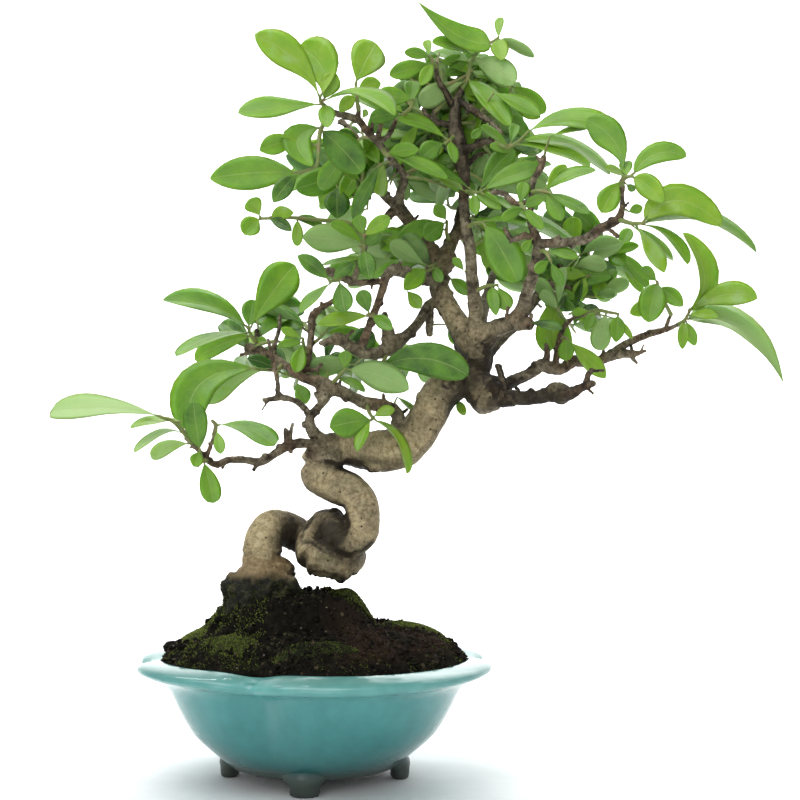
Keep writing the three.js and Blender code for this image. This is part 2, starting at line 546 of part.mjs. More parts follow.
// Leafy shoots. A shoot is a list of [x, z, y] from inside the wood outwards. A leaf is
// [base x, base z, tip x, tip z, seen width, depth from base to tip] and, where it
// arches, [x, z] of its middle.
const sprays = {
  low_left_tip: {
    shoot: [[-53, 141.2, -40.5], [-57, 146.5, -45], [-61, 150.5, -49], [-66, 152.3, -53]],
    leaves: [
      [-66, 152.5, -114, 154.5, 11.5, 10, -90, 156.5], [-58, 150.5, -79.5, 147.5, 3.5, -8],
      [-56.5, 145.3, -77.5, 137, 3.5, -14, -65, 145], [-54.5, 141, -70.5, 135, 7, 6],
    ],
  },
  low_left_twig: {
    shoot: [[-43.5, 144.5, -39], [-42.8, 149, -41], [-44.5, 151, -43]],
    leaves: [[-42.8, 148.8, -17.5, 140, 6, -12, -31, 148], [-42.5, 147, -40.5, 136.5, 5, -8]],
  },
  low_left_under: {
    shoot: [[-46.5, 133.8, -36], [-48.5, 134, -40], [-49.5, 138, -42]],
    leaves: [
      [-49.5, 139, -52.5, 159, 10.5, -6], [-48, 134, -43.5, 115.5, 9, -5], [-49.7, 138, -52, 131, 6, -8],
    ],
  },
  left_fold: {
    shoot: [[-14.5, 175.5, 11], [-16, 173, 6], [-21, 172.6, 1], [-26, 173.2, -3]],
    leaves: [[-26, 173.3, -54.5, 146.5, 14, -8, -52, 174.5], [-22, 172.5, -49, 157, 14, 4]],
  },
  left_burr: {
    shoot: [[-25, 184, 19.5], [-27.5, 187, 17], [-29, 190.5, 15]],
    leaves: [
      [-29.5, 191, -66, 202.7, 9, -10, -46, 200.5], [-29, 190.8, -27, 203, 9, 3],
      [-28.5, 190, -9, 218, 17, 6], [-28.5, 188.5, -60, 178.5, 5, -14, -45, 186],
      [-28, 187, -52, 177, 9, 12],
    ],
  },
  left_trio: {
    shoot: [[23, 231, -5], [14, 236, -12], [0, 237.5, -18], [-12, 238.5, -22], [-24, 238, -26]],
    leaves: [
      [-24, 238, -31, 231, 9, -5], [-24, 238.5, -29, 246.5, 8, -5], [-20, 238.3, -9.5, 240.5, 6, -8],
      [-21, 238, -10.5, 232.5, 5, -6], [-10, 238, 3, 234.5, 4.5, 8], [-8, 238, -8, 226, 5, -5],
    ],
  },
  gnarled_riser: {
    shoot: [[-3, 180, 9], [-5, 182.5, 5], [-5.5, 186, 2]],
    leaves: [[-5, 184, -8.5, 171.5, 7, -6], [-5.3, 184.5, -16.5, 183, 4, -4], [-5.5, 186, -15, 190.5, 4, -3]],
  },
  pale_limb: {
    shoot: [[25, 196.7, -15.8], [24, 196, -20], [22, 196.5, -23]],
    leaves: [[23.5, 196, 1, 192, 6, -5], [23, 196.5, 19, 207, 7, -4], [24, 196, 33, 190, 6, -8]],
  },
  pale_side: {
    shoot: [[11, 213, -21], [9.5, 211.5, -25], [6, 210.8, -28]],
    leaves: [
      [10, 211.5, 12.5, 197.5, 9, -5], [7, 210.8, -7, 197, 5, -4], [6, 211, -8, 222, 7, -6],
      [7, 211.3, 16, 219, 6, -6],
    ],
  },
  low_centre: {
    shoot: [[22, 158, 1.5], [23, 154.5, -4], [24.5, 152, -9]],
    leaves: [
      [24, 152, 6, 150, 12.5, -6], [24.8, 151.5, 39, 128, 4, -9, 35, 142], [24.5, 152.3, 34, 155.5, 5, -5],
      [24, 151.8, 18, 137.5, 5, -10],
    ],
  },
  dark_pair: {
    shoot: [[30.8, 181, -2], [29, 176, -8], [27, 174, -12]],
    leaves: [[27.5, 174, 65.5, 170, 15, 0, 47, 177.5]],
  },
  pale_pair: {
    shoot: [[7, 166.5, 0], [10.5, 170.5, -8], [13, 173, -15]],
    leaves: [[13.5, 172.7, 40, 164, 13, -7], [12.5, 172.5, 13, 181, 6, -4], [9, 169.3, 21, 163, 4, -8]],
  },
  riser_low: {
    shoot: [[19.6, 220.5, -15.6], [20.5, 225.5, -20], [20.3, 230.5, -24]],
    leaves: [
      [20.4, 225.5, -6, 230, 12.5, -6], [20.4, 227, 6, 235.5, 5, -10], [20.3, 230.5, 18, 239.5, 6.5, -5],
      [20.4, 230.5, 32, 238.5, 7, -5], [20.4, 225, 23, 211.5, 8, -5], [20.5, 226, 28, 232, 6, -6],
    ],
  },
  left_hollow: {
    shoot: [[24.5, 259.5, 36.5], [18, 258, 30], [9, 253, 24]],
    leaves: [[17, 258.5, -9, 249, 11, 6], [9, 252.5, 9, 238, 11.5, -5], [17.5, 257.5, 11.5, 247, 9, -8]],
  },
  left_hanging: {
    shoot: [[7, 284.4, -24], [2, 277, -28], [1, 269, -31], [0, 261, -33], [-7, 258, -34]],
    leaves: [
      [-8, 258, -46, 255.5, 15, 6], [-6.5, 258, -18.5, 245, 8, -6], [1, 270.5, -24.5, 266.5, 7, -6, -11, 271],
      [1.7, 276.5, -3, 260, 13, -7, -6, 271], [2, 277, 19, 257.5, 15, 10],
    ],
  },
  top_left: {
    shoot: [[4.5, 286.3, -25.2], [2, 288.8, -30], [1.5, 291, -33]],
    leaves: [
      [1.5, 288.8, -34.5, 286, 8.5, -8], [1.5, 290.5, -27, 319, 13, 8], [2, 291, -4, 316.5, 15, 0],
      [3, 289.3, 9, 302, 8, 10], [3, 289, 21.5, 288.5, 4, -12, 12, 294], [3.5, 288, 5, 277.5, 7.5, -8],
    ],
  },
  top_burr: {
    shoot: [[18.3, 285, -18], [17.5, 290.5, -20], [17, 296.5, -20]],
    leaves: [[17, 297, 27, 315, 13, 6], [17.3, 293, 28, 297, 7, -8], [17.5, 291, 10, 284.5, 6, -8]],
  },
  upper_hook: {
    shoot: [[34.5, 280.5, -4.6], [38, 283.5, -9], [41, 286.5, -12], [42, 289.5, -13]],
    leaves: [
      [42, 290, 26, 291, 9, -6], [41, 287, 42, 298, 8, 6], [37, 283, 23, 281.5, 7, -8], [38, 284, 31, 289, 5, 4],
    ],
  },
  upper_fork: {
    shoot: [[29, 268.3, -7.5], [30, 266, -13], [31, 265, -16]],
    leaves: [[30.5, 265.5, 57, 255, 6, -6, 43, 262.5], [30.5, 266, 44.5, 268, 7, -8]],
  },
  knot_left: {
    shoot: [[60.5, 274.5, 2], [57.5, 272, -4], [55.5, 270.5, -7]],
    leaves: [[56.5, 271.2, 45, 264, 9, -6], [57, 272, 35, 281, 6, -6, 46, 279], [58, 272, 60, 262, 5, -10]],
  },
  apex_left: {
    shoot: [[51.8, 304, -5.4], [50.5, 306.5, -10], [49, 309, -12]],
    leaves: [
      [49.3, 308.5, 38, 310.5, 5, -5], [49, 309, 47.5, 316, 4, 3], [50.8, 305.8, 31.5, 300.5, 8, -8],
      [50.8, 306, 45, 296, 6, -6],
    ],
  },
  apex: {
    shoot: [[62.6, 293.3, 5], [65.5, 299, 4], [67, 306, 2], [71, 312, 1], [78, 316.3, 0]],
    leaves: [
      [77, 316, 44, 333.5, 8, -4, 62, 318.5], [78.3, 316.5, 80.5, 307, 8, -6], [79, 316.5, 79.5, 326, 4, 4],
      [78.5, 316.3, 94.5, 308.5, 5, -4], [68.5, 308.5, 50, 315, 5, -6], [67, 306, 50, 310.5, 5, 10],
      [67.5, 307, 86, 297, 12, -8], [66.5, 303, 80, 293, 7, 12], [65.5, 299, 83.5, 278, 9, -12],
      [65, 298, 44.5, 288, 10, -8], [66, 301, 54, 306, 5, 16],
    ],
  },
  top_right: {
    shoot: [[75, 280, -6.6], [79, 283.5, -2], [82.5, 289, 3], [84.5, 295.5, 6]],
    leaves: [[84.5, 296, 99, 284, 8, 4], [82.5, 289, 97, 282, 7, -8], [80.5, 285.5, 92, 273, 6, 6]],
  },
  knot_right: {
    shoot: [[77.5, 271.6, -9.6], [82, 269, -15], [86, 270.5, -19], [91, 275, -22]],
    leaves: [
      [91, 275.5, 127, 281, 8.5, -10, 108, 284], [87.5, 271.5, 127, 257, 6, 4, 108, 269.5],
      [86, 270.5, 118, 260, 6, -12, 103, 267], [84, 270, 86.5, 279, 5, 4], [83, 269.5, 71, 278, 4, -8],
    ],
  },
  fan_top: {
    shoot: [[132, 252, -63.6], [132.5, 255.5, -67], [136, 256.5, -70]],
    leaves: [
      [132, 256, 121, 284, 8, 6, 130.5, 271], [136.5, 256.5, 160, 265, 9, -4, 147, 266],
      [136, 256.3, 150, 245, 10, -8], [132, 255.3, 123, 240.5, 10, -4], [134, 256.3, 133.5, 263, 6, 5],
    ],
  },
  leader_low: {
    shoot: [[65, 234, -3.5], [68.5, 236, -10], [72, 236.3, -15]],
    leaves: [[72, 235.5, 87, 210, 16, -6], [72, 236.7, 114, 222.5, 6, -5, 93, 235]],
  },
  leader_high: {
    shoot: [[63.8, 250, -1.5], [67.5, 249.5, -7], [71, 249.5, -11]],
    leaves: [
      [68, 249.5, 80, 242, 6, -8], [71, 249, 92, 237.5, 4, -4], [71.5, 250, 97, 260, 9, -4],
      [70.5, 250, 86, 268, 10, 4], [68, 249.5, 69, 239.5, 5, -4], [67.5, 250.3, 44, 261.5, 5, -10],
    ],
  },
  leader_mid: {
    shoot: [[68, 206, -2.2], [73, 208.7, -8], [78, 209.3, -12]],
    leaves: [[78, 209.3, 83, 198.5, 7, -3], [75.5, 209, 77.5, 196, 6, -6]],
  },
  riser_right: {
    shoot: [[93.3, 249.5, -32.4], [96, 250, -38], [100, 249.5, -42]],
    leaves: [
      [98, 249.8, 106, 237, 8, -4], [100, 249.5, 118, 240, 5, -8], [97.5, 250, 121, 259, 5, -6],
      [99, 250, 108, 261.5, 7, 2],
    ],
  },
  right_side: {
    shoot: [[88.4, 245, -32.3], [89.2, 243, -37], [90, 242, -40]],
    leaves: [[89.6, 242.6, 98.5, 247, 5, -5], [89.8, 242.2, 98, 233.5, 5, -3], [89.3, 243, 80, 237.5, 5, -6]],
  },
  right_limb: {
    shoot: [[96, 224.5, -34], [99, 223.5, -40], [101, 220, -43]],
    leaves: [[99.5, 223.5, 113, 221, 5, -6], [101, 220, 94.5, 214.5, 5, -5], [101, 219.7, 106, 208.5, 5, 3]],
  },
  right_fan: {
    shoot: [[130.3, 237.8, -60.3], [136, 236, -66], [141, 236, -70]],
    leaves: [
      [141, 236.3, 175, 235, 14, -6, 156, 246], [141, 235.8, 190, 223, 6, 8, 166, 237.5],
      [139.5, 235.8, 160, 218, 5, -6, 152, 230], [137.5, 235.8, 150, 214.5, 7, -8],
      [135.5, 236, 154, 220, 5, 10, 145, 227.5],
    ],
  },
  right_cluster: {
    shoot: [[119.6, 217.5, 59.6], [119, 214.5, 54], [117, 213, 50]],
    leaves: [[119, 214.3, 124, 203, 7, -4], [117, 213, 112, 203, 7, -4], [117.3, 213, 106, 214, 6, -5]],
  },
  right_dark: {
    shoot: [[123.6, 222.3, 63.7], [126, 224, 68]],
    leaves: [[126, 224, 140, 206, 7, 6, 134, 217], [125.7, 224, 133, 218, 8, -8], [126, 224.3, 120, 229, 6, 8]],
  },
  far_right: {
    shoot: [[155.5, 192.1, 41.5], [158.5, 194, 40.5], [160.5, 197.5, 39]],
    leaves: [
      [160.3, 197.5, 158, 232, 8, -4, 167, 213], [160.5, 198, 191.5, 201.5, 10, -8],
      [159.5, 196, 173, 195, 5, -12], [159, 194.3, 201, 166.5, 9.5, -6, 184, 189],
      [158.5, 193.7, 157.5, 181.5, 5, -6], [159, 194, 163, 183, 5, 4],
    ],
  },
  far_right_riser: {
    shoot: [[152.8, 196.3, 37.2], [151, 200, 34], [148, 206, 31], [147, 210.5, 29]],
    leaves: [
      [150.5, 200.5, 135, 197, 7, -5], [147, 210.7, 143, 193, 12, -8], [147.5, 208.5, 158, 200, 7, -6],
      [147, 210.5, 139.5, 216, 6, -3],
    ],
  },
  low_right_twig: {
    shoot: [[115, 196.2, 27], [121, 198.3, 24], [126, 197.5, 21], [130, 196.8, 19]],
    leaves: [[125, 197.4, 121.5, 181, 9, -6], [130, 196.6, 129, 184.5, 7, -4], [120, 198, 116, 189.5, 5, -6]],
  },
  back_right: {
    shoot: [[100, 208, 40.3], [102, 206.5, 33], [104, 203, 29]],
    leaves: [[102.3, 206, 99, 180, 11, -8], [104, 202.5, 106, 177, 9, -2]],
  },
  twig_right: {
    shoot: [[105, 186.5, 19.7], [107.5, 186.5, 14]],
    leaves: [[107.7, 186, 124.5, 169, 8, -4], [107.5, 186.3, 107.5, 176.5, 7, -4]],
  },
  left_limb: {
    shoot: [[52.8, 218.5, 21.6], [50.5, 217.7, 14], [47.5, 216.5, 7]],
    leaves: [[48.5, 217, 32, 228, 8.5, -6], [47.5, 216.3, 38, 207, 8, -6], [50, 217.5, 54, 210.5, 5, -8]],
  },
  left_trunk: {
    shoot: [[57.5, 228, 25.5], [56.3, 232, 18], [56.5, 236.5, 13]],
    leaves: [[56.4, 236.5, 47, 229, 9, -5], [56.3, 233, 35, 229, 8, -8], [56.5, 236.7, 51, 244, 6, -6]],
  },
  rear_low: {
    shoot: [[46.5, 177.2, 63.5], [43.5, 177, 72], [42, 175, 80]],
    leaves: [
      [42, 175, 33, 169, 9, 16], [42.3, 175.3, 52, 169, 10, 18], [43, 176.5, 58, 176, 9, 12],
      [43, 176.8, 36, 180, 8, 14],
    ],
  },
  rear_mid: {
    shoot: [[78.5, 221, 68], [79.5, 224, 76], [80, 225, 84]],
    leaves: [
      [80, 225, 85, 212, 10, 12], [79.8, 225, 72, 231, 9, 14], [79.5, 224, 76, 211, 9, -10],
      [80, 225, 88, 230, 9, 16],
    ],
  },
  rear_left: {
    shoot: [[36.7, 221, 72], [35.5, 223, 80], [35, 224, 87]],
    leaves: [
      [35, 224, 46, 226, 9, 14], [35, 224, 26, 222, 9, 13], [35.5, 223, 34, 232, 8, -12], [35, 224, 38, 213, 9, 12],
    ],
  },
  rear_top: {
    shoot: [[79, 258, 62.5], [81, 258.5, 70], [82, 259, 77]],
    leaves: [
      [82, 259, 94, 260, 9, 16], [81.5, 259, 84, 267, 9, 18], [81.5, 258.7, 75, 251, 9, 12],
      [81, 258.5, 92, 253, 8, -8],
    ],
  },
};

function shootSolid(route) {
  const last = route.length - 1;
  return limb(
    route.map((point, i) => [...point, shootRadius * (1 - (0.35 * i) / last)]),
    4,
  );
}

// The point of a shoot that looks closest to a place seen from the front
function nearestOnShoot(route, x, z) {
  let best = { distance: Infinity };
  for (let i = 0; i + 1 < route.length; i++) {
    for (let share = 0; share <= 1; share += 0.1) {
      const point = route[i].map((v, k) => THREE.MathUtils.lerp(v, route[i + 1][k], share));
      const distance = Math.hypot(point[0] - x, point[1] - z);
      if (distance < best.distance) best = { distance, point };
    }
  }
  return best.point;
}

// [share of the blade's length, share of its greatest half width]
const bladeOutline = [[0.04, 0.14], [0.42, 0.86], [0.8, 0.88]];

function leafSolid([bx, bz, tx, tz, width, lean, mx, mz], route, shift) {
  const from = nearestOnShoot(route, bx, bz);
  const foot = seen(...from);
  const base = seen(bx, bz, from[2] - 0.6);
  const tip = seen(tx, tz, from[2] + lean + shift);
  const middle = base.clone().add(tip).multiplyScalar(0.5);
  if (mx !== undefined) middle.copy(seen(mx, mz, from[2] + (lean + shift) / 2));
  const bend = middle.clone().multiplyScalar(2).addScaledVector(base, -0.5).addScaledVector(tip, -0.5);
  const curve = new THREE.QuadraticBezierCurve3(base, bend, tip);
  const seenHalf = (width / 2) * (1 + from[2] / 600);
  const half = Math.max(seenHalf, (leafSlender / 2) * curve.getLength());
  const roll = Math.acos(seenHalf / half);
  const sight = middle.clone().sub(eye).normalize();
  const ring = (place, axis, w, t) => {
    const side = axis.clone().cross(sight).normalize();
    const face = side.clone().cross(axis).normalize();
    const across = side.clone().multiplyScalar(Math.cos(roll)).addScaledVector(face, Math.sin(roll));
    const up = axis.clone().cross(across).normalize();
    return [[w, t], [-w, t], [0, -t]].map(([u, v]) => {
      return place.clone().addScaledVector(across, u).addScaledVector(up, v);
    });
  };
  const blade = bladeOutline.map(([share, w]) => {
    return ring(curve.getPoint(share), curve.getTangent(share), half * w, leafThickness / 2);
  });
  const stalk = base.clone().sub(foot);
  if (stalk.length() < 1) stalk.copy(curve.getTangent(0));
  const start = ring(foot, stalk.normalize(), petioleRadius, petioleRadius);
  return solidOf(loft([start, ...blade], foot, tip));
}

const shifts = [0, -3, 3, -6, 6, -10, 10]; // depths of a leaf's tip that are tried
const merged = 1.2; // mm3 that a leaf may share with its own spray where it grows from it

// A leaf is placed clear of the other sprays, and of the leaves beside it where it can be
function leafySprays(grownWood) {
  const bodies = new Map(
    Object.entries(sprays).map(([name, { shoot }]) => {
      return [name, largestPart(shootSolid(shoot).subtract(grownWood))];
    }),
  );
  for (const [name, { shoot, leaves }] of Object.entries(sprays)) {
    for (const leaf of leaves) {
      const others = [...bodies].filter(([other]) => other !== name).map(([, body]) => body);
      let best = { shared: Infinity };
      for (const shift of shifts) {
        const whole = leafSolid(leaf, shoot, shift);
        const free = largestPart(whole.subtract(grownWood));
        if (free.volume() < leastKept * whole.volume()) continue;
        if (others.some((other) => free.minGap(other, 1) < leastLeafGap)) continue;
        const grown = largestPart(bodies.get(name).add(free));
        const shared = bodies.get(name).intersect(free).volume();
        if (onGrid(grown) && shared < best.shared) best = { shared, grown };
        if (best.shared < merged) break;
      }
      if (best.grown) bodies.set(name, best.grown);
    }
  }
  return bodies;
}

// Assembly

const model = new THREE.Group();
model.name = "border_privet_bonsai";

function part(name, solid, color, roughness) {
  const whole = onGrid(solid);
  if (!whole) throw new Error(`${name} isn't one closed body`);
  const material = new THREE.MeshStandardMaterial({ color, roughness });
  material.name = name;
  const mesh = new THREE.Mesh(geometryOf(whole), material);
  mesh.name = name;
  model.add(mesh);
}

const tree = wood(0);
const grownTree = wood(woodMargin);
part("pot", pot(), 0x74b3ae, 0.25);
part("drain_screen_left", drainScreen(-1), 0x22352a, 0.7);
part("drain_screen_right", drainScreen(1), 0x22352a, 0.7);
part("soil", soil(grownTree), 0x3a2d22, 0.95);
const ground = grownTree.add(underMound(seatGap));
for (const [name, cushion] of Object.entries(mossCushions)) {
  part(name, mossCushion(cushion, ground), 0x5d7a26, 0.95);
}
part("trunk_and_branches", tree, 0x8a7a66, 0.85);
for (const [name, body] of leafySprays(grownTree)) {
  part(`leaves_${name}`, body, 0x3f6b2c, 0.45);
}

// The middle of the bounding box goes over the origin
const box = new THREE.Box3().setFromObject(model);
const middle = box.getCenter(new THREE.Vector3()).divideScalar(grid).round().multiplyScalar(grid);
for (const mesh of model.children) {
  mesh.geometry.translate(-middle.x, -middle.y, -box.min.z);
  mesh.geometry.computeVertexNormals();
}

export default model;
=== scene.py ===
import math
import random

import bmesh
import bpy
import numpy as np
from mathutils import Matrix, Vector, noise
from mathutils.bvhtree import BVHTree
from mathutils.kdtree import KDTree


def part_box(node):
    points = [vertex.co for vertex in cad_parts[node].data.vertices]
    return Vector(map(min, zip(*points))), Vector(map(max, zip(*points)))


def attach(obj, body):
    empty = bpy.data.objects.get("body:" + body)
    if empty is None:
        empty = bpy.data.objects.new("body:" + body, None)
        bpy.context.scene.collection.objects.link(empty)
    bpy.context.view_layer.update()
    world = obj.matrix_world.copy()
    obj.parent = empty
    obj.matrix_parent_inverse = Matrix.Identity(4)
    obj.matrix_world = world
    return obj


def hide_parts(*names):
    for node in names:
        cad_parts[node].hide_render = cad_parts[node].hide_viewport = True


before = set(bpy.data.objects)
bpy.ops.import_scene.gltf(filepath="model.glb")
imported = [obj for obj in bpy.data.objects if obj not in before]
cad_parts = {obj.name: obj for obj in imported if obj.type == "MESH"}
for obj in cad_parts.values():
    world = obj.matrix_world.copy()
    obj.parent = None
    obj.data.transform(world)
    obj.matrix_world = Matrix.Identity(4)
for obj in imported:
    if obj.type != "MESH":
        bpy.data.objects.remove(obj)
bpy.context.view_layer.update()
print("frame loaded:", len(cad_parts), "nodes")

# The plant is laid out in millimetres around the middle of the pot: X to the right, Y away
# from the front, Z up from the ground. The two drainage meshes tell where that middle is.
drainCorners = [corner for name in ("drain_screen_left", "drain_screen_right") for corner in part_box(name)]
potMiddle = np.array([sum(c[0] for c in drainCorners) / 4, sum(c[1] for c in drainCorners) / 4, 0.0])

# Places on the plant are listed as [x, z, y]: x and z where the point appears from the
# front on the upright plane through the middle of the pot, and y, its real depth.
eye = np.array([36.2, -600.0, 134.0])


def seen(x, z, y):
    return eye + (np.array([x, 0.0, z]) - eye) * (1 - y / eye[1])


def inFrame(points):
    return np.asarray(points, dtype=float) / 1000 + potMiddle


def unit(vector):
    return vector / np.linalg.norm(vector)


# Meshes and materials


def newPiece(name, points, faces, materials, standsFor=(), faceSlots=None, uvs=None, smooth=True):
    mesh = bpy.data.meshes.new(name)
    mesh.from_pydata(inFrame(points).tolist(), [], faces)
    for material in materials:
        mesh.materials.append(material)
    if faceSlots is not None:
        mesh.polygons.foreach_set("material_index", faceSlots)
    if uvs is not None:
        layer = mesh.uv_layers.new(name="blade")
        corners = np.empty(len(mesh.loops), dtype=np.int32)
        mesh.loops.foreach_get("vertex_index", corners)
        layer.data.foreach_set("uv", np.asarray(uvs, dtype=np.float32)[corners].ravel())
    mesh.polygons.foreach_set("use_smooth", [smooth] * len(mesh.polygons))
    piece = bpy.data.objects.new(name, mesh)
    bpy.context.scene.collection.objects.link(piece)
    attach(piece, "root")
    if standsFor:
        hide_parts(*standsFor)
    return piece


def hexToLinear(code):
    values = [int(code[i : i + 2], 16) / 255 for i in (1, 3, 5)]
    return [v / 12.92 if v <= 0.04045 else ((v + 0.055) / 1.055) ** 2.4 for v in values] + [1.0]


def noteOnPoints(mesh, name, values):
    mesh.attributes.new(name, "FLOAT", "POINT").data.foreach_set("value", np.array(values))


def newMaterial(name):
    material = bpy.data.materials.new(name)
    material.use_nodes = True
    material.node_tree.nodes.clear()
    return material


# One node with its settings and its links. A text starting with # is a colour, and stops
# are the places and colours of a colour ramp. A link to a node takes its main output.
def addNode(material, kind, settings=None, links=None):
    node = material.node_tree.nodes.new("ShaderNode" + kind)
    for key, value in (settings or {}).items():
        if isinstance(value, str) and value.startswith("#"):
            value = hexToLinear(value)
        if key == "stops":
            ramp = node.color_ramp
            while len(ramp.elements) < len(value):
                ramp.elements.new(0.5)
            for element, (place, colour) in zip(ramp.elements, value):
                element.position = place
                element.color = hexToLinear(colour)
        elif isinstance(key, int) or key in node.inputs:
            node.inputs[key].default_value = value
        else:
            setattr(node, key, value)
    for key, source in (links or {}).items():
        if isinstance(source, bpy.types.Node):
            source = source.outputs[2 if source.bl_idname == "ShaderNodeMix" else 0]
        material.node_tree.links.new(source, node.inputs[key])
    return node


def finishMaterial(material, settings, links):
    shader = addNode(material, "BsdfPrincipled", settings, links)
    addNode(material, "OutputMaterial", links={"Surface": shader})


# the settings of a node that lays one colour over another, or tints one with another
colourMix = {"data_type": "RGBA"}
colourTint = {"data_type": "RGBA", "blend_type": "MULTIPLY"}


# Camera and light

cameraLook = {"focalPixels": 1400, "pitchPixels": 60}
camera = bpy.data.cameras.new("camera")
camera.sensor_width = 36
camera.lens = 36 * cameraLook["focalPixels"] / 800
cameraObject = bpy.data.objects.new("camera", camera)
bpy.context.scene.collection.objects.link(cameraObject)
cameraObject.location = inFrame(eye)
pitch = math.atan(cameraLook["pitchPixels"] / cameraLook["focalPixels"])
cameraObject.rotation_euler = (math.pi / 2 + pitch, 0, 0)
bpy.context.scene.camera = cameraObject

studio = {
    "skyColour": "#f4f7fb",
    "skyStrength": 0.5,
    "boxes": [
        # name, place and aim in mm, size in mm, watts
        ("overhead", (-220, -260, 850), (20, 0, 140), (800, 600), 4.6),
        ("front", (-350, -1100, 500), (40, 0, 140), (600, 600), 1.3),
        ("behind", (250, 700, 700), (40, 0, 160), (900, 500), 2.2),
        ("window", (-200, -1000, 330), (0, -60, 46), (1300, 90), 1.0),
        ("backdrop_wash", (40, 700, 1500), (40, 2400, 300), (2200, 300), 80.0),
    ],
    "backdropFar": 2400,  # mm behind the pot
    "backdropBow": 900,  # mm, the radius in which the paper curves up
}
world = bpy.data.worlds.new("studio")
world.use_nodes = True
world.node_tree.nodes["Background"].inputs["Color"].default_value = hexToLinear(studio["skyColour"])
world.node_tree.nodes["Background"].inputs["Strength"].default_value = studio["skyStrength"]
bpy.context.scene.world = world
bpy.context.scene.view_settings.view_transform = "Standard"
for name, place, target, size, watts in studio["boxes"]:
    light = bpy.data.lights.new(name, "AREA")
    light.shape = "RECTANGLE"
    light.size, light.size_y = size[0] / 1000, size[1] / 1000
    light.energy = watts
    lamp = bpy.data.objects.new(name, light)
    lamp.location = inFrame(place)
    aim = Vector(inFrame(target)) - Vector(lamp.location)
    lamp.rotation_euler = aim.to_track_quat("-Z", "Y").to_euler()
    bpy.context.scene.collection.objects.link(lamp)

# Matt white paper sweep: no gloss, so it stays plain behind the plant
paper = newMaterial("matt_white_paper")
paperGrain = addNode(paper, "TexNoise", {"Scale": 900.0, "Detail": 2.0})
paperTone = addNode(paper, "ValToRGB", {"stops": [(0.3, "#f2f2f2"), (0.7, "#f6f6f6")]}, {"Fac": paperGrain})
finishMaterial(paper, {"Roughness": 0.95}, {"Base Color": paperTone})
floorMesh = bpy.data.meshes.new("floor")
# a paper roll: flat under the pot, curving up behind it
far, bow = studio["backdropFar"], studio["backdropBow"]
sweepLine = [(-6000, 0), (far - bow, 0)]
sweepLine += [
    (far - bow + bow * math.sin(a), bow - bow * math.cos(a)) for a in np.linspace(0.1, math.pi / 2, 16)
]
sweepLine += [(far, 3200)]
sweepPoints = [(x, y / 1000, z / 1000) for y, z in sweepLine for x in (-6, 6)]
sweepFaces = [(2 * i, 2 * i + 1, 2 * i + 3, 2 * i + 2) for i in range(len(sweepLine) - 1)]
floorMesh.from_pydata(sweepPoints, [], sweepFaces)
floorMesh.polygons.foreach_set("use_smooth", [True] * len(sweepFaces))
floorMesh.materials.append(paper)
floor = bpy.data.objects.new("floor", floorMesh)
bpy.context.scene.collection.objects.link(floor)
print("camera, light and floor set")

# Pot

# Stoneware dipped in a thick turquoise glaze: glassy, pale where it lies thick on the rim,
# deeper lower down, and dull brown-grey clay where the feet were wiped clean
glazeLook = {
    # the colour by height is partly painted light: a lighter band on the lip's roll stands for its highlight,
    # and the rim's top is painted darker where the light from above falls on it
    "byHeightWithPaintedLight": [  # mm above the ground, colour
        (0.0, "#363d36"), (5.0, "#3f4841"), (8.0, "#445650"), (11.0, "#356b6b"), (16.0, "#3f8180"),
        (28.0, "#458f8e"), (39.0, "#509b9a"), (43.0, "#5aa19e"), (46.5, "#68aba6"), (48.0, "#67a7a2"),
        (50.5, "#5f9790"),
    ],
    "mottleMm": 5.0,
    "streakMm": 3.0,
    "orangePeelMm": 7.0,
    "gloss": 0.2,
    "clayRoughness": 0.62,
}
glaze = newMaterial("turquoise_glazed_stoneware")
place = addNode(glaze, "TexCoord").outputs["Object"]
height = addNode(glaze, "SeparateXYZ", links={"Vector": place}).outputs["Z"]
drift = addNode(glaze, "TexNoise", {"Scale": 40.0, "Detail": 3.0}, {"Vector": place})
wobbled = addNode(glaze, "Math", {"operation": "MULTIPLY_ADD", 1: 0.004}, {0: drift, 2: height})
share = addNode(glaze, "MapRange", {"From Min": 0.002, "From Max": 0.0525}, {"Value": wobbled})
glazeRamp = addNode(
    glaze, "ValToRGB", {"stops": [(h / 50.5, colour) for h, colour in glazeLook["byHeightWithPaintedLight"]]}, {"Fac": share}
)
mottle = addNode(
    glaze, "TexNoise", {"Scale": 1000 / glazeLook["mottleMm"], "Detail": 4.0, "Roughness": 0.6},
    {"Vector": place},
)
mottleTone = addNode(glaze, "ValToRGB", {"stops": [(0.3, "#dfe6e6"), (0.7, "#ffffff")]}, {"Fac": mottle})
mottled = addNode(glaze, "Mix", {**colourTint, 0: 0.55}, {6: glazeRamp, 7: mottleTone})
upright = addNode(glaze, "Mapping", {"Scale": (1.0, 1.0, 0.08)}, {"Vector": place})
streak = addNode(
    glaze, "TexNoise", {"Scale": 1000 / glazeLook["streakMm"] / 3, "Detail": 2.0}, {"Vector": upright}
)
streakTone = addNode(glaze, "ValToRGB", {"stops": [(0.35, "#d3dedf"), (0.65, "#ffffff")]}, {"Fac": streak})
streaked = addNode(glaze, "Mix", {**colourTint, 0: 0.35}, {6: mottled, 7: streakTone})
speckCells = addNode(glaze, "TexVoronoi", {"Scale": 62.0}, {"Vector": place})
speckMask = addNode(glaze, "MapRange", {"From Min": 0.05, "From Max": 0.025}, {"Value": speckCells})
specked = addNode(glaze, "Mix", {**colourMix, 7: "#5a6a4e"}, {0: speckMask, 6: streaked})
clay = addNode(glaze, "MapRange", {"From Min": 0.0105, "From Max": 0.0075}, {"Value": height})
glazeRoughness = addNode(
    glaze, "MapRange", {"To Min": glazeLook["gloss"], "To Max": glazeLook["clayRoughness"]}, {"Value": clay}
)
peel = addNode(
    glaze, "TexNoise", {"Scale": 1000 / glazeLook["orangePeelMm"], "Detail": 3.0}, {"Vector": place}
)
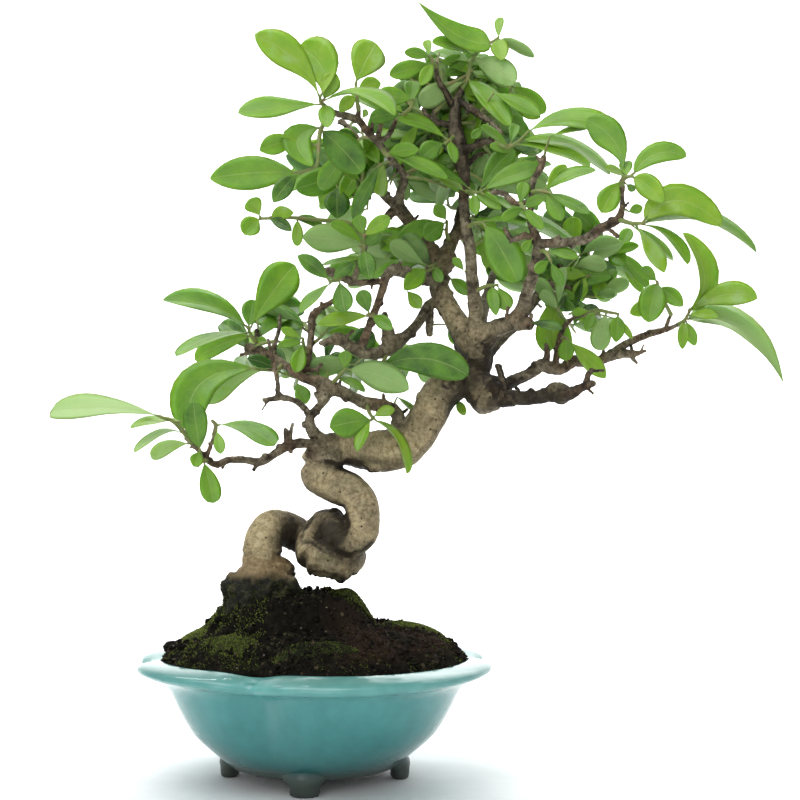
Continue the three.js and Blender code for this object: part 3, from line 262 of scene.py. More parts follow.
glazeBump = addNode(glaze, "Bump", {"Strength": 0.22, "Distance": 0.0006}, {"Height": peel})
finishMaterial(
    glaze, {"IOR": 1.5, "Specular IOR Level": 0.36, "Coat Weight": 0.36, "Coat Roughness": 0.07},
    {"Base Color": specked, "Roughness": glazeRoughness, "Normal": glazeBump},
)

potShape = {
    "rimTop": 50.4,
    "floorTop": 10.5,
    "baseBottom": 5.6,
    "notches": [(-72.5, -8.0), (-22.0, -60.0), (72.5, 1.0), (22.0, 53.0)],
    "lobeRise": (15.0, 38.0),  # of the short and the long lobes
    "steps": 208,
    "roundTo": 71.5,  # mm, radius of the circle that the outline is rounded to lower down
    "creaseDepth": {"outside": 4.4, "inside": 3.4, "lip": 1.4},  # mm that the notches are pressed in
    "footRing": 36.0,
    "footTurn": -93.0,
    "drainRadius": 5.5,
    "drainOffset": 17.0,
    "cutGap": 0.2,
    # half width, height and how far the outline is rounded to a circle
    "outside": [
        (30, 5.6, 0.95), (34, 5.6, 0.92), (36.2, 6.1, 0.9), (37.6, 7.2, 0.86), (40.4, 9.6, 0.8),
        (43.6, 12.4, 0.68), (47, 15.5, 0.55), (50, 18.3, 0.47), (52.5, 21, 0.4), (55, 25, 0.32),
        (57.2, 29, 0.25), (59.2, 33.2, 0.18), (60.8, 37, 0.13), (62, 39.3, 0.09), (63.4, 41.2, 0.05),
        (65.2, 42.7, 0.02), (67.4, 43.7, 0), (69.8, 44.3, 0), (72.5, 44.8, 0), (74.0, 45.5, 0),
        (74.8, 46.4, 0), (74.8, 47.4, 0), (74.1, 48.3, 0), (72.6, 49.1, 0), (70.2, 50.0, 0),
        (68, 50.8, 0), (66.2, 51.4, 0), (65.2, 51.6, 0), (64.3, 51.0, 0), (63.7, 49.4, 0),
    ],
    "inside": [
        (62.4, 46, 0.02), (58, 37, 0.12), (51, 26, 0.35), (41, 15.5, 0.65), (34, 12, 0.8), (30, 10.6, 0.9),
    ],
}


def smoothstep(value, low, high):
    t = np.clip((value - low) / (high - low), 0, 1)
    return t * t * (3 - 2 * t)


def rimOutline(steps):
    points = []
    notches = [np.array(n) for n in potShape["notches"]]
    for i, a in enumerate(notches):
        b = notches[(i + 1) % 4]
        rise = potShape["lobeRise"][i % 2]
        half = np.linalg.norm(b - a) / 2
        radius = (half**2 + rise**2) / (2 * rise)
        across = (b - a) / (2 * half)
        out = np.array([across[1], -across[0]])
        centre = (a + b) / 2 + out * (rise - radius)
        spread = math.atan2(half, radius - rise)
        count = steps // 5 if i % 2 == 0 else steps // 2 - steps // 5
        for k in range(count):
            turn = spread * (2 * k / count - 1)
            points.append(centre + across * radius * math.sin(turn) + out * radius * math.cos(turn))
    return np.array(points)


outline = rimOutline(potShape["steps"])
outlineHalf = abs(outline[:, 0]).max()
outlineRadius = np.linalg.norm(outline, axis=1)
outlineTurn = np.arctan2(outline[:, 1], outline[:, 0])


def notchShare(turn, spread=0.1):
    # 1 at a notch, fading to 0 within a few degrees of it
    share = 0
    for x, y in potShape["notches"]:
        gap = np.abs((turn - math.atan2(y, x) + math.pi) % (2 * math.pi) - math.pi)
        share = np.maximum(share, np.exp(-((gap / spread) ** 2)))
    return share


def creaseAt(where, turn, z, rounding):
    depth = potShape["creaseDepth"][where] * (0.75 if z > 43 else 1.0)
    return depth * notchShare(turn, 0.11 if z > 43 else 0.17) * (1 - rounding) ** 1.5


def ringOf(turns, radius, z):
    return np.stack([np.cos(turns) * radius, np.sin(turns) * radius, radius * 0 + z], axis=1)


def potRing(halfWidth, z, rounding, inside=False):
    radius = (outlineRadius * (1 - rounding) + potShape["roundTo"] * rounding) * halfWidth / outlineHalf
    radius = radius - creaseAt(
        "inside" if inside else "lip" if z > 49.5 else "outside", outlineTurn, z, rounding
    )
    # the rim sags at each notch, and its edge turns up at the two ends of the bowl
    dip = 2.0 * notchShare(outlineTurn, 0.15) * smoothstep(z, 40, 46)
    dip = dip - 1.9 * np.cos(outlineTurn) ** 2 * smoothstep(halfWidth, 63, 73) * smoothstep(z, 41, 44)
    return ringOf(outlineTurn, radius, z - dip)


def closedLoft(rings, start, end):
    count = len(rings[0])
    points = [start, *[p for ring in rings for p in ring], end]
    faces = []
    for i in range(count):
        j = (i + 1) % count
        last = 1 + (len(rings) - 1) * count
        faces.append((0, 1 + j, 1 + i))
        faces.append((len(points) - 1, last + i, last + j))
        for r in range(len(rings) - 1):
            a, b = 1 + r * count, 1 + (r + 1) * count
            faces.append((a + i, a + j, b + j, b + i))
    return points, faces


def solidObject(points, faces):
    mesh = bpy.data.meshes.new("working")
    mesh.from_pydata([tuple(p) for p in points], [], faces)
    piece = bpy.data.objects.new("working", mesh)
    bpy.context.scene.collection.objects.link(piece)
    return piece


def evaluated(piece):
    # the piece with its modifiers applied, as points and faces; the working object goes
    graph = bpy.context.evaluated_depsgraph_get()
    mesh = bpy.data.meshes.new_from_object(piece.evaluated_get(graph))
    points = np.empty(len(mesh.vertices) * 3)
    mesh.vertices.foreach_get("co", points)
    faces = [tuple(p.vertices) for p in mesh.polygons]
    bpy.data.meshes.remove(mesh)
    bpy.data.objects.remove(piece)
    return points.reshape(-1, 3), faces


def footRings(turn):
    # a small cloud-shaped foot: a broad top under the base, waisted, with a rolled toe
    out = np.array([math.cos(turn), math.sin(turn)])
    side = np.array([-out[1], out[0]])
    levels = [
        (0.0, 4.6, 3.0, 0.2), (0.5, 5.6, 3.6, 0.2), (1.7, 6.1, 4.0, 0.0), (3.0, 6.0, 4.0, 0),
        (4.4, 6.6, 4.2, -0.2), (5.8, 8.0, 5.0, -0.8), (7.4, 9.8, 6.0, -2.0), (9.4, 10.6, 6.6, -3.4),
        (12.0, 9.8, 6.6, -5.0),
    ]
    rings = []
    for z, wide, deep, lean in levels:
        ring = []
        for i in range(40):
            a = 2 * math.pi * i / 40
            ripple = 1 + 0.07 * math.cos(3 * a) * min(1, z / 4)
            reach = potShape["footRing"] + lean + deep * ripple * math.cos(a)
            x, y = out * reach + side * wide * ripple * math.sin(a)
            ring.append((x, y, z))
        rings.append(ring)
    low = (*(out * potShape["footRing"]), 0.0)
    high = (*(out * (potShape["footRing"] - 4.2)), 12.0)
    return rings, low, high


def combine(piece, operation, rings, start, end):
    change = piece.modifiers.new("combine", "BOOLEAN")
    change.operation, change.solver = operation, "EXACT"
    change.object = solidObject(*closedLoft(rings, start, end))


def makePot():
    rings = [potRing(*level) for level in potShape["outside"]]
    rings += [potRing(*level, inside=True) for level in potShape["inside"]]
    pot = solidObject(*closedLoft(rings, (0, 0, potShape["baseBottom"]), (0, 0, potShape["floorTop"])))
    for n in range(4):
        combine(pot, "UNION", *footRings(math.radians(potShape["footTurn"] + 90 * n)))
    radius = potShape["drainRadius"]
    for x in (-potShape["drainOffset"], potShape["drainOffset"]):
        turns = np.linspace(0, 2 * math.pi, 48, endpoint=False)
        ring = [(x + radius * math.cos(a), radius * math.sin(a)) for a in turns]
        combine(pot, "DIFFERENCE", [[(*p, z) for p in ring] for z in (3, 14)], (x, 0, 3), (x, 0, 14))
    # the soil's room is cut free of the feet that reach up into it, a hair narrower than the wall
    inner = potShape["inside"][2:][::-1]
    rings = [potRing(width - potShape["cutGap"], z, rounding, inside=True) for width, z, rounding in inner]
    combine(pot, "DIFFERENCE", rings, (0, 0, potShape["floorTop"]), (0, 0, inner[-1][1]))
    helpers = [m.object for m in pot.modifiers]
    points, faces = evaluated(pot)
    for helper in helpers:
        bpy.data.objects.remove(helper)
    piece = newPiece("glazed_pot", points, faces, [glaze], ["pot"])
    shade = bmesh.new()
    shade.from_mesh(piece.data)
    for edge in shade.edges:
        edge.smooth = len(edge.link_faces) == 2 and edge.calc_face_angle(0) < math.radians(38)
    shade.to_mesh(piece.data)
    shade.free()


makePot()
print("pot made")

# Drainage meshes

# Black polyethylene net, moulded, with a slight sheen
net = newMaterial("black_polyethylene_net")
netPlace = addNode(net, "TexCoord").outputs["Object"]
netGrain = addNode(net, "TexNoise", {"Scale": 700.0, "Detail": 3.0}, {"Vector": netPlace})
netTone = addNode(net, "ValToRGB", {"stops": [(0.3, "#121412"), (0.7, "#1e211f")]}, {"Fac": netGrain})
netBump = addNode(net, "Bump", {"Strength": 0.2, "Distance": 0.0003}, {"Height": netGrain})
finishMaterial(net, {"Roughness": 0.45, "IOR": 1.51}, {"Base Color": netTone, "Normal": netBump})
for name in ("drain_screen_left", "drain_screen_right"):
    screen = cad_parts[name]
    screen.data.materials.clear()
    screen.data.materials.append(net)

# Soil

# Damp peat and grit: nearly black, crumbly, redder where it dries on the right, with
# pale specks of grit
soilLook = {
    "dampColour": "#0a0a08",
    "peatColour": "#191711",
    "dryColour": "#35271f",
    "gritColour": "#7d796e",
}
peat = newMaterial("damp_peat_and_grit")
peatPlace = addNode(peat, "TexCoord").outputs["Object"]
peatClump = addNode(
    peat, "TexNoise", {"Scale": 260.0, "Detail": 6.0, "Roughness": 0.7}, {"Vector": peatPlace}
)
peatCrumb = addNode(peat, "Attribute", {"attribute_name": "crumb"}).outputs["Fac"]
peatShade = addNode(peat, "Math", {"operation": "MULTIPLY_ADD", 1: 0.6}, {0: peatCrumb, 2: peatClump})
peatTone = addNode(
    peat, "ValToRGB",
    {
        "stops": [
            (0.34, soilLook["dampColour"]), (0.58, soilLook["peatColour"]), (0.78, "#332e22"),
            (1.0, "#5a5040"),
        ],
    },
    {"Fac": peatShade},
)
dryPatch = addNode(peat, "TexNoise", {"Scale": 75.0, "Detail": 4.0}, {"Vector": peatPlace})
peatSides = addNode(peat, "SeparateXYZ", links={"Vector": peatPlace})
dryReach = addNode(
    peat, "MapRange", {"From Min": potMiddle[0], "From Max": potMiddle[0] + 0.022},
    {"Value": peatSides.outputs["X"]},
)
dryHeight = addNode(
    peat, "MapRange", {"From Min": 0.0535, "From Max": 0.058}, {"Value": peatSides.outputs["Z"]}
)
dryThere = addNode(peat, "Math", {"operation": "MULTIPLY"}, {0: dryReach, 1: dryHeight})
dryShare = addNode(peat, "MapRange", {"From Min": 0.38, "From Max": 0.6, "To Max": 0.75}, {"Value": dryPatch})
dryMix = addNode(peat, "Math", {"operation": "MULTIPLY"}, {0: dryThere, 1: dryShare})
dried = addNode(peat, "Mix", {**colourMix, 7: soilLook["dryColour"]}, {0: dryMix, 6: peatTone})
gritCells = addNode(peat, "TexVoronoi", {"Scale": 900.0}, {"Vector": peatPlace})
gritPick = addNode(peat, "SeparateColor", links={"Color": gritCells.outputs["Color"]})
gritSome = addNode(peat, "Math", {"operation": "GREATER_THAN", 1: 0.984}, {0: gritPick.outputs["Red"]})
gritNear = addNode(peat, "MapRange", {"From Min": 0.36, "From Max": 0.2}, {"Value": gritCells})
gritMask = addNode(peat, "Math", {"operation": "MULTIPLY"}, {0: gritSome, 1: gritNear})
peatColour = addNode(peat, "Mix", {**colourMix, 7: soilLook["gritColour"]}, {0: gritMask, 6: dried})
peatGrain = addNode(peat, "TexNoise", {"Scale": 1400.0, "Detail": 5.0}, {"Vector": peatPlace})
peatBump = addNode(peat, "Bump", {"Strength": 0.8, "Distance": 0.0006}, {"Height": peatGrain})
finishMaterial(
    peat, {"Roughness": 0.9, "Specular IOR Level": 0.08}, {"Base Color": peatColour, "Normal": peatBump}
)

mound = {
    "rimHalf": 64.6,
    "standOff": 0.035,
    "apronRise": 13.0,
    "crown": (-8.0, 2.0, 36.0, 31.0, 27.0, 13.0),  # middle, reach to the left, right and back, rise
    "turns": 400,
    "rings": 66,  # of the mound above the rim
    "crumbs": 4600,
    # half width, height and rounding of the soil inside the pot, as in potShape
    "inPot": [(30, 12.6, 0.9), (40.5, 16, 0.65), (50.5, 26, 0.35), (57.5, 37, 0.12), (61.4, 46, 0)],
    # x, y and size of those pushed up against the rim
    "clods": [
        (-60.5, -7, 2.6), (-57.5, -16, 2.0), (-61, 2, 1.8), (-53, -24, 1.7), (59.5, -1, 1.6), (-55, -13, 1.5),
    ],
}
rimDirections = np.sort(np.linspace(-math.pi, math.pi, mound["turns"], endpoint=False))
wallTurn = np.concatenate([outlineTurn - 2 * math.pi, outlineTurn, outlineTurn + 2 * math.pi])
wallOrder = np.argsort(wallTurn)
wallRadius = np.tile(outlineRadius, 3)


def wallAt(turn):
    return np.interp(turn, wallTurn[wallOrder], wallRadius[wallOrder])


def soilWall(turn):
    # the soil stands off the rim a little at the front and the back
    stand = mound["rimHalf"] * (1 - mound["standOff"] * np.sin(turn) ** 2)
    return wallAt(turn) * stand / outlineHalf


def moundHeight(x, y, share):
    cx, cy, left, right, deep, rise = mound["crown"]
    distance = np.hypot((x - cx) / np.where(x < cx, left, right), (y - cy) / deep)
    top = 1 - smoothstep(distance, 0.72, 1.18)
    return potShape["rimTop"] + 0.3 + mound["apronRise"] * (1 - share**5) + rise * top


def crumble(x, y):
    # clods, crumbs and grit, as a height in mm
    clod = noise.fractal(Vector((x / 8, y / 8, 3.1)), 0.9, 2.1, 3)
    crumb = noise.voronoi(Vector((x / 2.6, y / 2.6, 0.4)))[0][0]
    grit = noise.voronoi(Vector((x / 1.25, y / 1.25, 7.4)))[0][0]
    return 1.9 * clod + 1.7 * (0.45 - crumb) + 0.9 * (0.45 - grit)


def shareOfWay(x, y):
    # 0 in the middle of the mound, 1 at the rim
    return min(1.0, math.hypot(x, y) / float(soilWall(math.atan2(y, x))))


def smoothGroundAt(x, y):
    return float(moundHeight(x, y, shareOfWay(x, y)))


def groundAt(x, y):
    return smoothGroundAt(x, y) + crumble(x, y) * smoothstep(shareOfWay(x, y), 1.0, 0.93)


def makeSoil():
    rings = []
    for halfWidth, z, rounding in mound["inPot"]:
        radius = wallAt(rimDirections) * (1 - rounding) + potShape["roundTo"] * rounding
        radius = radius * halfWidth / outlineHalf - creaseAt("inside", rimDirections, z, rounding)
        rings.append(ringOf(rimDirections, radius, z))
    for share in np.linspace(1, 0.02, mound["rings"]):
        radius = soilWall(rimDirections) * share
        x, y = np.cos(rimDirections) * radius, np.sin(rimDirections) * radius
        z = moundHeight(x, y, share)
        z = z + np.array([crumble(a, b) for a, b in zip(x, y)]) * (1 - smoothstep(share, 0.955, 1.0))
        rings.append(np.stack([x, y, z], axis=1))
    points, faces = closedLoft(rings, (0, 0, mound["inPot"][0][1]), (0, 0, float(groundAt(0, 0))))
    newPiece("peat_mound", points, faces, [peat], ["soil"])


def roundBody(subdivisions):
    ball = bmesh.new()
    bmesh.ops.create_icosphere(ball, subdivisions=subdivisions, radius=1.0)
    points = np.array([v.co[:] for v in ball.verts])
    faces = [tuple(v.index for v in f.verts) for f in ball.faces]
    ball.free()
    return points, faces


def anyDirection(dice):
    return Vector((dice.gauss(0, 1), dice.gauss(0, 1), dice.gauss(0, 1)))


def randomTurn(dice):
    return np.array(anyDirection(dice).normalized().to_track_quat("Z", "Y").to_matrix())


def raggedBody(body, stretch, dice, depth, scale, seed, size):
    # a ball stretched, turned and roughened; depth and scale are those of the roughness
    turned = (body * stretch) @ randomTurn(dice)
    ragged = [1 + depth * noise.noise(Vector(p) * scale + Vector(seed)) for p in turned]
    return turned * np.array(ragged)[:, None] * size


class Heap:
    # many small closed bodies gathered into one mesh, with a mark on each point, such as
    # how old a leaf is or how light a tuft
    def __init__(self):
        self.points = []
        self.faces = []
        self.slots = []
        self.uvs = []
        self.marks = []

    def add(self, points, faces, slot=0, uvs=None, mark=0.0):
        start = len(self.points)
        self.points.extend(np.asarray(points).tolist())
        self.faces.extend(tuple(i + start for i in face) for face in faces)
        self.slots.extend([slot] * len(faces) if isinstance(slot, int) else slot)
        self.uvs.extend([(0.5, 0.5)] * len(points) if uvs is None else uvs)
        self.marks.extend(mark if isinstance(mark, list) else [mark] * len(points))


def makeCrumbs():
    dice = random.Random(11)
    small, large = roundBody(1), roundBody(2)
    heap = Heap()
    for _ in range(mound["crumbs"]):
        turn = dice.uniform(-math.pi, math.pi)
        share = dice.random() ** 0.42
        size = min(1.5, 0.5 * math.exp(dice.gauss(0, 0.42)))
        reach = min(share * float(soilWall(turn)), float(soilWall(turn)) - 0.2 * size)
        x, y = math.cos(turn) * reach, math.sin(turn) * reach
        points, faces = large if size > 1.1 else small
        stretch = [dice.uniform(0.55, 1.5) for _ in range(3)]
        body = raggedBody(points, stretch, dice, 0.6, 1.9, (x, y, size), size)
        shade = 0.8 * dice.random() ** 2.4 - 0.12
        heap.add(body + [x, y, groundAt(x, y) + 0.25 * size], faces, mark=shade)
    for x, y, size in mound["clods"]:
        points, faces = large
        body = raggedBody(points, [1.2, 1.0, 0.8], dice, 0.4, 1.9, (x, y, 0), size)
        heap.add(body + [x, y, groundAt(x, y) + 0.5 * size], faces, mark=0.05)
    piece = newPiece("peat_crumbs", heap.points, heap.faces, [peat], smooth=False)
    noteOnPoints(piece.data, "crumb", heap.marks)


makeSoil()
makeCrumbs()
print("soil made")

# Wood

barkPalette = {
    "buff": "#bfae86",
    "ash": "#a99b7b",
    "sage": "#7c7657",
    "shadowed": "#211b13",
    "limb": "#857b66",
    "limbDark": "#3b3327",
    "collar": "#6f5636",
    "wrinkleMm": 1.1,
    "lenticelMm": 2.6,
}
# Smooth privet bark: a thin grey-buff skin, matt, finely wrinkled across the stem and
# dotted with dark pores; greener where algae grow, darker and rougher on the branches,
# black and mossy at the root
bark = newMaterial("grey_buff_privet_bark")
barkPlace = addNode(bark, "TexCoord").outputs["Object"]
grainPlace = addNode(bark, "Attribute", {"attribute_name": "grain"}).outputs["Vector"]
girth = addNode(bark, "Attribute", {"attribute_name": "girth"}).outputs["Fac"]
patches = addNode(bark, "TexNoise", {"Scale": 70.0, "Detail": 5.0, "Roughness": 0.6}, {"Vector": barkPlace})
trunkTone = addNode(
    bark, "ValToRGB",
    {
        "stops": [
            (0.34, barkPalette["sage"]), (0.46, barkPalette["ash"]), (0.6, barkPalette["buff"]),
            (0.74, "#cabd98"),
        ],
    },
    {"Fac": patches},
)
limbNoise = addNode(
    bark, "TexNoise", {"Scale": 190.0, "Detail": 5.0, "Roughness": 0.65}, {"Vector": barkPlace}
)
limbTone = addNode(
    bark, "ValToRGB",
    {"stops": [(0.34, barkPalette["limbDark"]), (0.5, barkPalette["limb"]), (0.68, "#a89e84")]},
    {"Fac": limbNoise},
)
redPatch = addNode(bark, "TexNoise", {"Scale": 48.0, "Detail": 3.0}, {"Vector": barkPlace})
redShare = addNode(bark, "MapRange", {"From Min": 0.48, "From Max": 0.6, "To Max": 0.6}, {"Value": redPatch})
limbRed = addNode(bark, "Mix", {**colourTint, 7: "#c39a80"}, {0: redShare, 6: limbTone})
limbShare = addNode(bark, "MapRange", {"From Min": 5.2, "From Max": 2.6}, {"Value": girth})
barkTone = addNode(bark, "Mix", colourMix, {0: limbShare, 6: trunkTone, 7: limbRed})
across = addNode(bark, "Mapping", {"Scale": (1 / barkPalette["wrinkleMm"], 0.3, 0.3)}, {"Vector": grainPlace})
wrinkles = addNode(
    bark, "TexNoise", {"Scale": 1.0, "Detail": 3.0, "Roughness": 0.6, "Distortion": 0.4}, {"Vector": across}
)
wrinkleTone = addNode(bark, "ValToRGB", {"stops": [(0.3, "#a79d8a"), (0.52, "#ffffff")]}, {"Fac": wrinkles})
wrinkled = addNode(bark, "Mix", {**colourTint, 0: 0.6}, {6: barkTone, 7: wrinkleTone})
pores = addNode(bark, "TexVoronoi", {"Scale": 1000 / barkPalette["lenticelMm"]}, {"Vector": barkPlace})
poreDice = addNode(bark, "SeparateColor", links={"Color": pores.outputs["Color"]})
poreSome = addNode(bark, "Math", {"operation": "GREATER_THAN", 1: 0.72}, {0: poreDice.outputs["Green"]})
poreNear = addNode(bark, "MapRange", {"From Min": 0.24, "From Max": 0.12}, {"Value": pores})
poreMask = addNode(bark, "Math", {"operation": "MULTIPLY"}, {0: poreSome, 1: poreNear})
mottles = addNode(bark, "TexNoise", {"Scale": 520.0, "Detail": 6.0, "Roughness": 0.75}, {"Vector": barkPlace})
mottleTones = addNode(bark, "ValToRGB", {"stops": [(0.34, "#8f8675"), (0.58, "#ffffff")]}, {"Fac": mottles})
weathered = addNode(bark, "Mix", {**colourTint, 0: 0.8}, {6: wrinkled, 7: mottleTones})
pored = addNode(bark, "Mix", {**colourMix, 7: "#3d3427"}, {0: poreMask, 6: weathered})
barkAxes = addNode(bark, "SeparateXYZ", links={"Vector": barkPlace})
# painted shade: the bark is darkened where it misses the sky, in the listed shade spots and in the creases
# that face the front, mixed with real patches of dirt
occlusionShadeSeen = addNode(bark, "Attribute", {"attribute_name": "shelter"}).outputs["Fac"]
paintedShadeSeen = addNode(bark, "Attribute", {"attribute_name": "aged"}).outputs["Fac"]
paintedShadeSum = addNode(bark, "Math", {"operation": "MULTIPLY_ADD", 1: 0.62}, {0: paintedShadeSeen, 2: occlusionShadeSeen})
dirtAndShade = addNode(bark, "Math", {"operation": "MULTIPLY_ADD", 1: 0.5}, {0: patches, 2: paintedShadeSum})
dirtAndShadeShare = addNode(bark, "MapRange", {"From Min": 0.4, "From Max": 0.92, "To Max": 0.93}, {"Value": dirtAndShade})
dirtiedAndShaded = addNode(bark, "Mix", {**colourMix, 7: barkPalette["shadowed"]}, {0: dirtAndShadeShare, 6: pored})
barkDrift = addNode(bark, "TexNoise", {"Scale": 160.0, "Detail": 4.0}, {"Vector": barkPlace})
barkLevel = addNode(
    bark, "Math", {"operation": "MULTIPLY_ADD", 1: 0.007}, {0: barkDrift, 2: barkAxes.outputs["Z"]}
)
# orange-brown collar under the ring, then the black rootstock
collarHere = addNode(
    bark, "MapRange", {"From Min": 0.0975, "From Max": 0.0955, "To Max": 0.55}, {"Value": barkLevel}
)
collarSide = addNode(
    bark, "MapRange", {"From Min": potMiddle[0] - 0.008, "From Max": potMiddle[0] - 0.012},
    {"Value": barkAxes.outputs["X"]},
)
collarShare = addNode(bark, "Math", {"operation": "MULTIPLY"}, {0: collarHere, 1: collarSide})
collared = addNode(bark, "Mix", {**colourMix, 7: barkPalette["collar"]}, {0: collarShare, 6: dirtiedAndShaded})
rootShare = addNode(bark, "MapRange", {"From Min": 0.0905, "From Max": 0.0865}, {"Value": barkLevel})
rootTone = addNode(
    bark, "ValToRGB", {"stops": [(0.35, "#0e0f0a"), (0.5, "#1c1c13"), (0.6, "#35341f"), (0.72, "#525130")]},
    {"Fac": limbNoise},
)
barkColour = addNode(bark, "Mix", colourMix, {0: rootShare, 6: collared, 7: rootTone})
fineGrain = addNode(
    bark, "TexNoise", {"Scale": 900.0, "Detail": 5.0, "Roughness": 0.7}, {"Vector": barkPlace}
)
barkRelief = addNode(bark, "Math", {"operation": "MULTIPLY_ADD", 1: 0.5}, {0: fineGrain, 2: wrinkles})
barkBump = addNode(bark, "Bump", {"Strength": 0.7, "Distance": 0.0007}, {"Height": barkRelief})
barkRough = addNode(bark, "MapRange", {"To Min": 0.55, "To Max": 0.8}, {"Value": patches})
finishMaterial(
    bark, {"IOR": 1.45, "Specular IOR Level": 0.28},
    {"Base Color": barkColour, "Roughness": barkRough, "Normal": barkBump},
)

# Each route is a list of [x, z, y, radius]. The first one is the rootstock and the coil,
# and the last one is the trunk up to the top of the crown.
trunkRoutes = [
    [[-22, 40, 0, 15], [-22.5, 58, 0, 17], [-23, 70, 0, 15.8], [-23, 79, 0, 15], [-22.5, 85.5, 0, 11.5],
     [-22.3, 89, 0, 8.8], [-22.5, 95, 0, 8.3], [-21.3, 101.5, 1, 8.3], [-17, 105, 5, 8],
     [-10, 103.5, 11, 7.5], [-3, 99.5, 16, 7.2], [5, 96, 18, 7.3], [12.5, 94, 14, 7.5], [15.5, 92.5, 7, 7.2]],
    [[15.5, 92.5, 8, 6.6], [12, 91.4, -1, 8], [5, 91.4, -5, 8.2], [-0.8, 92.5, -4, 7.6]],
    [[-1, 92.5, -4, 7], [-2, 97.5, 1, 6.6], [0, 102.5, 4, 6.5], [4.5, 106.6, 3, 6.6], [8.8, 107.4, -1, 6.3]],
    [[8.8, 107.5, 0, 6], [8.8, 103, -5, 6.4], [10.5, 98.8, -8, 6.2]],
    [[10, 99, -8, 6], [15, 98.8, -9, 6.6], [19.5, 102.5, -8, 7.2], [20.4, 109, -7, 7.4],
     [19.2, 115.5, -5, 7.6], [15, 120.5, -3, 7.9], [8, 124, -1, 8.1], [2, 127.5, 1, 8.2],
     [-0.5, 132.3, 2, 7.2]],
    [[-1, 131.8, 2, 6.4], [3.5, 137.6, 3, 6.6], [10, 139.2, 3, 7], [20, 138, 2, 8.2], [30, 138, 1, 9.3],
     [38, 140.2, 0, 9], [44.3, 146.3, 0, 8.2], [49, 154, 0, 7.9], [52.8, 161.5, 1, 8.2], [60, 167.3, 2, 7.8],
     [66.5, 170.8, 3, 7], [70, 177.5, 3, 6.4], [69.8, 186, 2, 6], [69.3, 194, 0, 3.8], [68, 205, -2, 2.9],
     [67, 216, -4, 2.7], [66, 227, -4, 2.6], [64.5, 236, -3, 2.4], [63.6, 246, -2, 2.2], [64, 256, 0, 2.4],
     [62.5, 264, 1, 3.6], [61, 272, 2, 3.8], [60, 280, 3, 2.8], [60.5, 288, 4, 2.3], [63, 294.5, 5, 1.5]],
]

